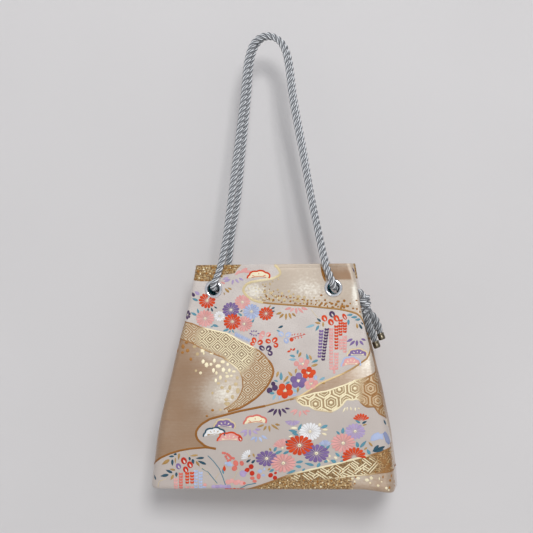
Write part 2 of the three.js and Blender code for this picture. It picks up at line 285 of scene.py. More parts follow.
def thread_finish(name, light, dark):
    """Floating silk: fine threads down the cloth, painted paler on the crown of a patch than at its edge, as
    painted light and shade, and paler along bands where their painted glint is bright.
    """
    gold = "gold" in name or name in ("amber", "cream")
    roughness, gloss, metal = (0.42, 0.4, 0.2) if gold else (0.5, 0.25, 0.0)
    finish = Finish(name, roughness=roughness, sheen_weight=0.05, specular_ior_level=gloss)
    u, s, shade = finish.kept("cloth")
    threads = (u * 11.0 + (s * 3.0).sine() * 0.6).sine() * 0.5 + 0.5
    wear = finish.noise(1.0, 2.0, finish.vector(u * 1.1, s * 0.35))
    # Each point's shade carries its patch's painted light and shade, with the fine threads and wear on top.
    tone = (shade + threads * 0.22 + (wear - 0.5) * 0.4 - 0.05).clipped()
    finish.feed("Base Color", finish.blend(tone, dark, light))
    finish.feed("Metallic", threads * 0.1 + metal)
    finish.bump(threads * 0.8 + wear * 0.4, 0.5, 0.0002)
    return finish.material


CORD = cord_finish("silver_cord", 1.0)
# The tails' cord is the same cord painted darker, as painted shade where the tails hang beside the bag.
PAINTED_SHADE_CORD = cord_finish("shaded_cord", 0.82)
BROCADE = brocade_finish()
CHROME = chrome_finish("chrome", rgb(236, 238, 242), rgb(206, 208, 213))
# The caps' metal is darker and browner than the eyelets', with dark brown specks.
CAP_METAL = chrome_finish("cap_metal", rgb(132, 124, 108), rgb(78, 68, 50), 0.5)
LINING = lining_finish()


# Rope: three strands laid together, drawn as one tube with a lobed section that turns along the route

ROPE_RADIUS = 3.9
ROPE_STEP = 0.9
STRAND_TURN = 18.6
LOBES = 3
LOBE_POINTS = 12
SHARP_GROOVE = 60


def smooth_route(points, spans=12):
    """The centripetal curve through the points."""
    points = np.asarray(points, float)
    ends = np.vstack([2 * points[0] - points[1], points, 2 * points[-1] - points[-2]])
    line = []
    for p0, p1, p2, p3 in zip(ends, ends[1:], ends[2:], ends[3:]):
        d0, d1, d2 = (np.linalg.norm(b - a) ** 0.5 for a, b in ((p0, p1), (p1, p2), (p2, p3)))
        m1 = ((p1 - p0) / d0 - (p2 - p0) / (d0 + d1) + (p2 - p1) / d1) * d1
        m2 = ((p2 - p1) / d1 - (p3 - p1) / (d1 + d2) + (p3 - p2) / d2) * d1
        for t in np.linspace(0, 1, spans, endpoint=False):
            line.append(
                (2 * t**3 - 3 * t**2 + 1) * p1
                + (t**3 - 2 * t**2 + t) * m1
                + (3 * t**2 - 2 * t**3) * p2
                + (t**3 - t**2) * m2
            )
    line.append(points[-1])
    return np.array(line)


def even_steps(line, step):
    """The same line with points a step apart."""
    length = np.r_[0, np.cumsum(np.linalg.norm(np.diff(line, axis=0), axis=1))]
    at = np.linspace(0, length[-1], max(2, round(length[-1] / step) + 1))
    return np.stack([np.interp(at, length, line[:, k]) for k in range(3)], 1), at


def lobed_section(radius):
    """Around the rope: how far out the strands reach, and where on its strand each point is, from 0 to 1."""
    strand = radius / (1 + 2 / math.sqrt(3))
    ring = radius - strand
    share = np.arange(LOBE_POINTS) / LOBE_POINTS
    turn = (share - 0.5) * 2 * math.pi / LOBES
    reach = ring * np.cos(turn) + np.sqrt(np.maximum(strand**2 - (ring * np.sin(turn)) ** 2, 0))
    angle = np.concatenate([turn + k * 2 * math.pi / LOBES for k in range(LOBES)])
    return angle, np.tile(reach, LOBES), np.tile(share, LOBES)


def rope_mesh(line, radius, step=ROPE_STEP, radius_at=None):
    """Points, faces, strand places and middle line of a rope along a line, closed at both ends."""
    centres, at = even_steps(line, step)
    ahead = np.gradient(centres, axis=0)
    ahead /= np.linalg.norm(ahead, axis=1)[:, None]
    side = np.cross(ahead[0], (0, 0, 1) if abs(ahead[0][2]) < 0.9 else (0, 1, 0))
    angle, reach, share = lobed_section(radius)
    points, kept = [], []
    for k, (centre, along) in enumerate(zip(centres, ahead)):
        side = side - along * side.dot(along)
        side /= np.linalg.norm(side)
        other = np.cross(along, side)
        turn = angle + at[k] * 2 * math.pi / STRAND_TURN
        scale = 1.0 if radius_at is None else radius_at(at[k] / at[-1])
        ring = np.cos(turn)[:, None] * side + np.sin(turn)[:, None] * other
        points.append(centre + ring * (reach * scale)[:, None])
        kept.append(np.stack([share, np.full_like(share, at[k]), np.zeros_like(share)], 1))
    count = len(angle)
    faces = []
    for k in range(len(centres) - 1):
        for j in range(count):
            n = (j + 1) % count
            faces.append((k * count + j, k * count + n, (k + 1) * count + n, (k + 1) * count + j))
    last = (len(centres) - 1) * count
    faces.append(tuple(range(count))[::-1])
    faces.append(tuple(range(last, last + count)))
    return np.vstack(points), faces, np.vstack(kept), centres


def join_parts(parts):
    """One mesh from several ropes."""
    points, faces, kept, start = [], [], [], 0
    for part in parts:
        points.append(part[0])
        kept.append(part[2])
        faces += [tuple(i + start for i in face) for face in part[1]]
        start += len(part[0])
    return np.vstack(points), faces, np.vstack(kept)


def make_rope(name, parts, finish=CORD):
    points, faces, kept = join_parts(parts)
    piece = make_mesh(name, points, faces, finish, SHARP_GROOVE)
    add_vectors(piece, "strand", kept)
    return piece


# The loop starts inside the bag at the side eyelet, leaves by the front right eyelet, goes over the top and in at
# the front left, straight across and out at the back left, over the top again and back to the side eyelet.
LOOP_ROUTE = [
    (91.7, -4.2, -289.3), (88.6, -4.7, -288.6), (85, -6.2, -287.6), (81.6, -9, -286.1),
    (79.2, -12.6, -284.3), (77.9, -16.8, -282.8), (77.5, -21, -282.4), (77.4, -24.7, -280.6),
    (76.8, -27.4, -276.8), (75, -28.4, -271.7), (71.3, -27.9, -263.6), (67.5, -26.9, -253.3),
    (60.4, -24, -222), (52.5, -20.2, -185.8), (41.3, -15.1, -128.9), (30, -10, -71.4),
    (23.2, -5.9, -24.9), (18.6, -4.4, -9.5), (11.5, -4.1, -0.4), (1.5, -4.1, 3.9),
    (-8.4, -4.1, 2), (-16.6, -4.2, -5.6), (-22.2, -5.4, -22), (-26.7, -9.9, -70),
    (-33.2, -15, -127.7), (-39.4, -20.2, -185), (-45, -24.6, -232), (-49.9, -27.2, -258.9),
    (-54.2, -28.4, -272.4), (-57.6, -27.4, -279.3), (-59.3, -24.6, -282.9), (-59.5, -21, -284.5),
    (-59.5, -13, -285.5), (-59.5, 0, -286.1), (-59.5, 13, -285.5), (-59.5, 21, -284.5),
    (-59.3, 24.6, -282.9), (-57.8, 27.4, -279.3), (-54.6, 28.4, -272.4), (-51, 27, -255.3),
    (-47.4, 24.2, -227), (-39.3, 20.2, -182.6), (-32.5, 15, -124.6), (-25.7, 9.9, -67.1),
    (-20.6, 5.8, -21.5), (-14.6, 4.3, -5), (-6.2, 4.1, 3), (3.6, 4.1, 4),
    (13.4, 4.1, -1), (20, 4.5, -10.8), (23.6, 6, -22.8), (29.2, 10, -68.4),
    (39.2, 15.1, -125.7), (48.8, 20.2, -183.4), (57.4, 24, -226), (64.4, 27, -255.4),
    (71, 28.4, -267.1), (75.4, 28.2, -273.5), (77.1, 26.6, -278.1), (77.4, 24.2, -280.9),
    (77.5, 20.8, -282.3), (77.9, 16.8, -282.8), (79.2, 12.6, -284.3), (81.6, 9, -286.1),
    (85, 6.2, -287.6), (88.6, 4.7, -288.6), (91.7, 4.2, -289.3),
]
NECK_ROUTE = [(92.4, 0, -288.5), (98.9, 0, -288), (104.6, 0.2, -288.8), (108.2, 0.5, -291.4), (110.2, 0.8, -297)]
TAIL_ROUTES = {
    "front": [
        (112.4, -3.5, -315), (113.9, -4.2, -320.2), (116, -4.5, -327),
        (118.6, -4.4, -334), (120.8, -4.2, -339.5), (122.9, -4, -344.8),
    ],
    "back": [
        (115.8, 4.8, -315), (118.6, 5, -316.8), (121.9, 5.2, -321),
        (124.6, 5.2, -327), (126.7, 5.2, -332.4), (128, 5.2, -336),
    ],
}

loop_part = rope_mesh(smooth_route(LOOP_ROUTE), ROPE_RADIUS)
handle = make_rope("handle_loop", [loop_part])
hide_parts("handle_rope")

# Knot: the two ends side by side through the side eyelet, then three wraps round them
KNOT_TOP = np.array(NECK_ROUTE[-1])
KNOT_AXIS = np.array((0.09, 0, -1)) / math.hypot(0.09, 1)
NECK_RADIUS, NECK_GAP, NECK_PRESS = 3.3, 6.0, 0.12
WRAP_RADIUS, WRAP_STEP, WRAP_RING, WRAP_PITCH = 3.75, 0.6, 4.1, 6.3
WRAP_START, WRAP_END, WRAP_POINTS = -0.28, 2.35, 80
WRAP_TILT = math.radians(-10)


def wrap_route():
    """The rope's line round the knot, each turn tilted, starting from the top."""
    across = np.array((math.cos(WRAP_TILT), 0, -math.sin(WRAP_TILT)))
    deep = np.array((0, 1, 0))
    line = []
    for t in np.linspace(WRAP_START, WRAP_END, WRAP_POINTS):
        turn = 2 * math.pi * t
        ring = across * math.cos(turn) - deep * math.sin(turn)
        line.append(KNOT_TOP + KNOT_AXIS * WRAP_PITCH * t + ring * WRAP_RING)
    return np.array(line)


def neck_squeeze(t):
    return 1.0 - NECK_PRESS * t


knot_parts = [
    rope_mesh(smooth_route(NECK_ROUTE) + np.array((0, offset, 0)), NECK_RADIUS, radius_at=neck_squeeze)
    for offset in (-NECK_GAP / 2, NECK_GAP / 2)
]
knot_parts.append(rope_mesh(wrap_route(), WRAP_RADIUS, WRAP_STEP))
knot = make_rope("rope_knot_wraps", knot_parts)
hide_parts("rope_knot")

# Caps: turned cups crimped on the tails, made along +Z with the mouth at the origin
CAP_PROFILE = [
    (0, 8), (2.2, 7.95), (3.1, 7.8), (3.65, 7.4), (3.93, 6.8), (4, 6), (4, 3.1), (3.82, 2.8), (3.82, 2.3),
    (4, 2), (4, 0.35), (3.85, 0.05), (3.6, 0), (3.45, 0.2), (3.4, 0.8), (3.4, 4.9), (0, 4.9),
]
CAP_SIDES, CAP_GAP, TAIL_IN_CAP = 48, 0.3, 4.2
SHARP_METAL = 40


def lathe(profile, sides, at, out):
    """A turned body: radius and height along out, with a closed end where the radius is nothing."""
    turn = Vector((0, 0, 1)).rotation_difference(Vector(out)).to_matrix()
    at = np.asarray(at, float)
    rows, points, faces = [], [], []
    for radius, height in profile:
        if radius == 0:
            rows.append([len(points)] * sides)
            points.append(at + np.array(turn @ Vector((0, 0, height))))
            continue
        rows.append(list(range(len(points), len(points) + sides)))
        for k in range(sides):
            angle = 2 * math.pi * k / sides
            corner = Vector((radius * math.cos(angle), radius * math.sin(angle), height))
            points.append(at + np.array(turn @ corner))
    closed = profile[0][0] != 0
    for upper, lower in zip(rows, rows[1:] + (rows[:1] if closed else [])):
        for k in range(sides):
            n = (k + 1) % sides
            faces.append(tuple(dict.fromkeys([upper[k], lower[k], lower[n], upper[n]])))
    return points, faces


# Each tail starts inside the knot, under its first wrap
TAIL_STARTS = {"front": [(111, -0.4, -299), (111.5, -1.7, -307)], "back": [(110.4, 1, -296), (112, 2.6, -305)]}


def tail_swell(t):
    """The tails have loosened, so they are thicker than the handle until their caps grip them."""
    return float(lerp(1.0 + 0.3 * smoothstep(t / 0.25), 0.85, smoothstep((t - 0.8) / 0.1)))


tails, caps = {}, {}
for side, route in TAIL_ROUTES.items():
    line = smooth_route(TAIL_STARTS[side] + route)
    end = np.array(route[-1])
    out = end - np.array(route[-2])
    out = out / np.linalg.norm(out)
    line = np.vstack([line, end + out * TAIL_IN_CAP])
    tail = rope_mesh(line, ROPE_RADIUS, radius_at=tail_swell)
    tails[side] = make_rope(f"tail_{side}", [tail], PAINTED_SHADE_CORD)
    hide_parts(f"rope_tail_{side}")
    points, faces = lathe(CAP_PROFILE, CAP_SIDES, end + out * CAP_GAP, out)
    caps[side] = make_mesh(f"cap_{side}", points, faces, CAP_METAL, SHARP_METAL)
    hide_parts(f"tail_cap_{side}")
    (tail[3] * MM).tolist()
(loop_part[3][::3] * MM).tolist()

# The bag's cloth. On a half of it, u is the way round from the middle of the panel to the side seam and s is the
# way down from the rim. The front half is on side -1 and the back half on side 1.

BAG_X, RIM_Z, BAG_HEIGHT, COLLAR = 9.0, -258.0, 250.0, 56.0
RIM_HALF_WIDTH, FLARE, BELLY = 90, 0.19, 5.5
RIM_HALF_DEPTH, BASE_HALF_DEPTH, PANEL_CROWN = 20, 46, 5
PINCH_RIM, PINCH_COLLAR = 3, 8.3
OUTER_CLOTH, LINING_CLOTH, LINING_DEPTH, LINING_RIM = 1.2, 0.5, 1.5, 2.0
RIM_EDGE, BASE_EDGE = 0.6, 4.0
SEAM = 0.01
DOWN = np.array((0, 0, -1))
EYELET_U, EYELET_S = 68.5, 27.5
SIDE_EYELET_X, SIDE_EYELET_S = 89.96, 31.0
# The hole in the cloth, the points just outside it that move to its edge, and how far a panel's eyelet reaches
HOLE, HOLE_EDGE, HOLE_CLOSE, EYELET_REACH = 8.3, 1.2, 1.9, 20
PANEL_COLUMNS, CORNER_COLUMNS, FLANK_COLUMNS, BASE_ROWS, EDGE_ROWS = 125, 6, 12, 22, 4
# Rows of points below the rim: close together at its edge and hem, then evenly spaced
CLOTH_ROWS = [0, 0.1, 0.3, 0.6, 1.5, 2.5, 3.5, 4.1, 4.5, 4.9, 5.5, *np.arange(7, 246.1, 2.0)]


def below(s):
    """The share of the way from the collar to the base."""
    return np.clip((s - COLLAR) / (BAG_HEIGHT - COLLAR), 0, 1)


def soft_below(s):
    """As below, with a soft start instead of a crease under the collar."""
    return (s - COLLAR + np.sqrt((s - COLLAR) ** 2 + 110)) / 2 / (BAG_HEIGHT - COLLAR + 0.15)


def half_width(s):
    return RIM_HALF_WIDTH + FLARE * s + BELLY * np.sin(np.pi * below(s) ** 1.3)


def half_depth(s):
    q = soft_below(s)
    return lerp(RIM_HALF_DEPTH, BASE_HALF_DEPTH, q * (1 + 0.25 * (1 - q)))


def corner_radius(s):
    return np.where(s < COLLAR, lerp(6, 4, s / COLLAR), lerp(4, 13, below(s)))


def pinch(s):
    """How far the gusset is folded in."""
    lower = PINCH_COLLAR * (1 - smoothstep(below(s) / 0.8))
    return np.where(s < COLLAR, lerp(PINCH_RIM, PINCH_COLLAR, s / COLLAR), lower)


def trough(s):
    """How far from the middle of the gusset its fold begins."""
    return np.where(s < COLLAR, lerp(11.5, 9.7, s / COLLAR), lerp(9.7, 18, below(s)))


def droop(x, y, s):
    """How far the bag hangs below level: it leans a little, and the right end of its base sags."""
    end = smoothstep((x / half_width(s) - 0.72) / 0.28) * smoothstep(s / BAG_HEIGHT)
    lean = x * lerp(0.011, 0.028, s / BAG_HEIGHT)
    return end * lerp(3.8, 14, (y / half_depth(s) + 1) / 2) - lean


def seam_at(s):
    """How far round the side seam lies."""
    return half_width(s) + half_depth(s) - corner_radius(s) * (2 - math.pi / 2) - SEAM


def cloth_point(u, s, side):
    """The plain shape: a crowned panel, a round corner and half of a gusset that is folded in."""
    a, b, r = half_width(s), half_depth(s), corner_radius(s)
    flat, way = a - r, np.abs(u)
    turn = np.clip((way - flat) / r, 0, math.pi / 2)
    depth = b - r - np.clip(way - flat - r * math.pi / 2, 0, None)
    fold = a - pinch(s) * (1 - smoothstep((depth - trough(s)) / (b - r - trough(s))))
    on_panel, on_flank = way <= flat, turn >= math.pi / 2
    crown = b + PANEL_CROWN * np.sin(np.pi * soft_below(s)) * (1 - (way / flat) ** 2)
    x = np.sign(u) * np.where(on_panel, way, np.where(on_flank, fold, flat + r * np.sin(turn)))
    y = side * np.where(on_panel, crown, np.where(on_flank, depth, b - r + r * np.cos(turn)))
    return np.stack([BAG_X + x, y, RIM_Z - s - droop(x, y, s)], -1)


def cloth_out(u, s, side):
    """The directions that point out of the bag."""
    across = cloth_point(u + 0.2, s, side) - cloth_point(u - 0.2, s, side)
    down = cloth_point(u, s + 0.2, side) - cloth_point(u, s - 0.2, side)
    out = np.cross(across, down) * side
    return out / np.linalg.norm(out, axis=-1)[..., None]


def from_eyelets(u, s):
    """How far a point is from the middle of the nearest eyelet."""
    panel = np.hypot(np.abs(u) - EYELET_U, s - EYELET_S)
    seam = np.where(u > 0, np.hypot(seam_at(s) - u, s - SIDE_EYELET_S), 99.0)
    return np.minimum(panel, seam)


def wrinkle(u, s, side):
    """How far the cloth stands out of its plain shape, in soft folds."""
    v = u * (1 if side < 0 else 0.93) + (0 if side < 0 else 17)
    folds = 0.6 * np.sin(v / 26 + 0.7) * np.sin(s / 38 + 0.4)
    folds += 0.3 * np.sin(v / 13 - s / 21 + 1.1) + 0.16 * np.sin(v / 7.3 + s / 9.1)
    calm = smoothstep((from_eyelets(u, s) - 11) / 12) * smoothstep((seam_at(s) - np.abs(u) + 2) / 14)
    calm = calm * smoothstep((s + 3) / 12) * smoothstep((BAG_HEIGHT - s) / 16)
    hem = -0.12 * np.exp(-(((s - 4.5) / 0.45) ** 2))
    return folds * calm + hem


def cloth_surface(u, s, side, height=0.0):
    """Points a height above the cloth: down the side, round the edge of the base and in under it."""
    u, s = np.asarray(u, float), np.asarray(s, float)
    level = np.minimum(s, BAG_HEIGHT - BASE_EDGE)
    turn = np.clip((s - level) / BASE_EDGE, 0, math.pi / 2)[..., None]
    under = np.maximum(s - level - BASE_EDGE * math.pi / 2, 0)[..., None]
    out = cloth_out(u, level, side)
    level_out = out * (1, 1, 0)
    level_out /= np.linalg.norm(level_out, axis=-1)[..., None]
    away = np.where(turn > 0, level_out * np.cos(turn) + DOWN * np.sin(turn), out)
    edge = DOWN * BASE_EDGE * np.sin(turn) - level_out * (BASE_EDGE * (1 - np.cos(turn)) + under)
    fold = (wrinkle(u, level, side)[..., None] * np.cos(turn)) + np.asarray(height)[..., None]
    return cloth_point(u, level, side) + edge + away * fold


def half_columns(s, every):
    """How far round each column of points is, in a row s below the rim."""
    a, b, r = half_width(s), half_depth(s), corner_radius(s)
    panel = np.linspace(-1, 1, PANEL_COLUMNS)[::every] * (a - r)
    corner = a - r + r * math.pi / 2 * np.arange(1, CORNER_COLUMNS + 1)[every - 1 :: every] / CORNER_COLUMNS
    flank = np.linspace(a - r + r * math.pi / 2, seam_at(s), FLANK_COLUMNS + 1)[every::every]
    wing = np.r_[corner, flank]
    return np.r_[-wing[::-1], panel, wing]


def cloth_half(side, rim, every, near, far):
    """A closed half of the bag between two depths under its outside, with its points' places on the cloth."""
    places, outer, inner = [], [], []
    for s in [rim] + [row for row in CLOTH_ROWS[::every] if row > rim]:
        u = half_columns(s, every)
        row = np.full_like(u, s)
        # Points near an eyelet's hole move to its edge, and those inside it are left out
        gap = from_eyelets(u, row)
        removed = gap < HOLE - HOLE_EDGE
        close = gap < HOLE + HOLE_CLOSE * every
        on_panel = np.abs(np.abs(u) - EYELET_U) < EYELET_REACH
        middle_u = np.where(on_panel, np.sign(u) * EYELET_U, seam_at(s))
        middle_s = np.where(on_panel, EYELET_S, SIDE_EYELET_S)
        pull = np.where(close & (gap > 0.1), HOLE / np.maximum(gap, 0.1), 1)
        u = np.where(close, middle_u + (u - middle_u) * pull, u)
        row = np.where(close, middle_s + (row - middle_s) * pull, row)
        u = np.clip(u, -seam_at(row), seam_at(row))
        away = rim + RIM_EDGE - np.minimum(row, rim + RIM_EDGE)
        rounding = (far - near) / 2 * (1 - np.sqrt(1 - np.minimum(away / RIM_EDGE, 0.98) ** 2))
        out = cloth_out(u, row, side)
        plain = cloth_point(u, row, side) + out * wrinkle(u, row, side)[:, None]
        outer.append(plain - out * (near + rounding)[:, None])
        inner.append(plain - out * (far - rounding)[:, None])
        places.append(np.stack([u, row, np.where(removed, 1.0, 0.0)], 1))
    # The edge of the base, then the base itself, which narrows to its middle
    edge = BAG_HEIGHT - BASE_EDGE
    u = half_columns(edge, every)
    for k in range(1, EDGE_ROWS + 1):
        row = np.full_like(u, edge + BASE_EDGE * k / EDGE_ROWS * math.pi / 2)
        outer.append(cloth_surface(u, row, side, np.full_like(u, -near)))
        inner.append(cloth_surface(u, row, side, np.full_like(u, -far)))
        places.append(np.stack([u, row, 0 * u], 1))
    last, middle = cloth_surface(u, row, side, 0 * u), np.array((BAG_X, SEAM * side, 0))
    for share in np.linspace(1, 0, BASE_ROWS + 1)[1:]:
        flat = middle + (last - middle) * share
        flat[:, 1] = side * np.maximum(np.abs(flat[:, 1]), SEAM)
        flat[:, 2] = RIM_Z - BAG_HEIGHT - droop(flat[:, 0] - BAG_X, flat[:, 1], BAG_HEIGHT)
        outer.append(flat - DOWN * near)
        inner.append(flat - DOWN * far)
        places.append(np.stack([u * share, row + (1 - share) * BASE_HALF_DEPTH, 0 * u], 1))
    return np.array(places), np.array(outer), np.array(inner)


def close_cloth(places, outer, inner):
    """One closed mesh from the two layers of a half: points, faces and places on the cloth."""
    rows, columns = places.shape[:2]
    count = rows * columns
    gone = places[..., 2] > 0.5
    sheet = []
    for i in range(rows - 1):
        for j in range(columns - 1):
            if not gone[i : i + 2, j : j + 2].any():
                k = i * columns + j
                sheet.append((k, k + columns, k + columns + 1, k + 1))
    # The last row is a single point
    last = (rows - 1) * columns
    sheet = [tuple(dict.fromkeys(min(i, last) for i in face)) for face in sheet]
    sheet = [face for face in sheet if len(face) > 2]
    edges = dict.fromkeys((a, b) for face in sheet for a, b in zip(face, face[1:] + face[:1]))
    faces = sheet + [tuple(i + count for i in face[::-1]) for face in sheet]
    faces += [(b, a, a + count, b + count) for a, b in edges if (b, a) not in edges]
    used = np.unique([i for face in faces for i in face])
    order = np.full(2 * count, -1)
    order[used] = np.arange(len(used))
    points = np.vstack([outer.reshape(-1, 3), inner.reshape(-1, 3)])[used]
    kept = np.vstack([places.reshape(-1, 3)] * 2)[used]
    return points, [tuple(int(order[i]) for i in face) for face in faces], kept


def turned(faces, side):
    """The faces with their outsides outwards on either half."""
    return faces if side < 0 else [face[::-1] for face in faces]


SIDES = {"front": -1, "back": 1}

# Where the woven motifs lie on a half of the cloth: u and s in millimetres, then sizes

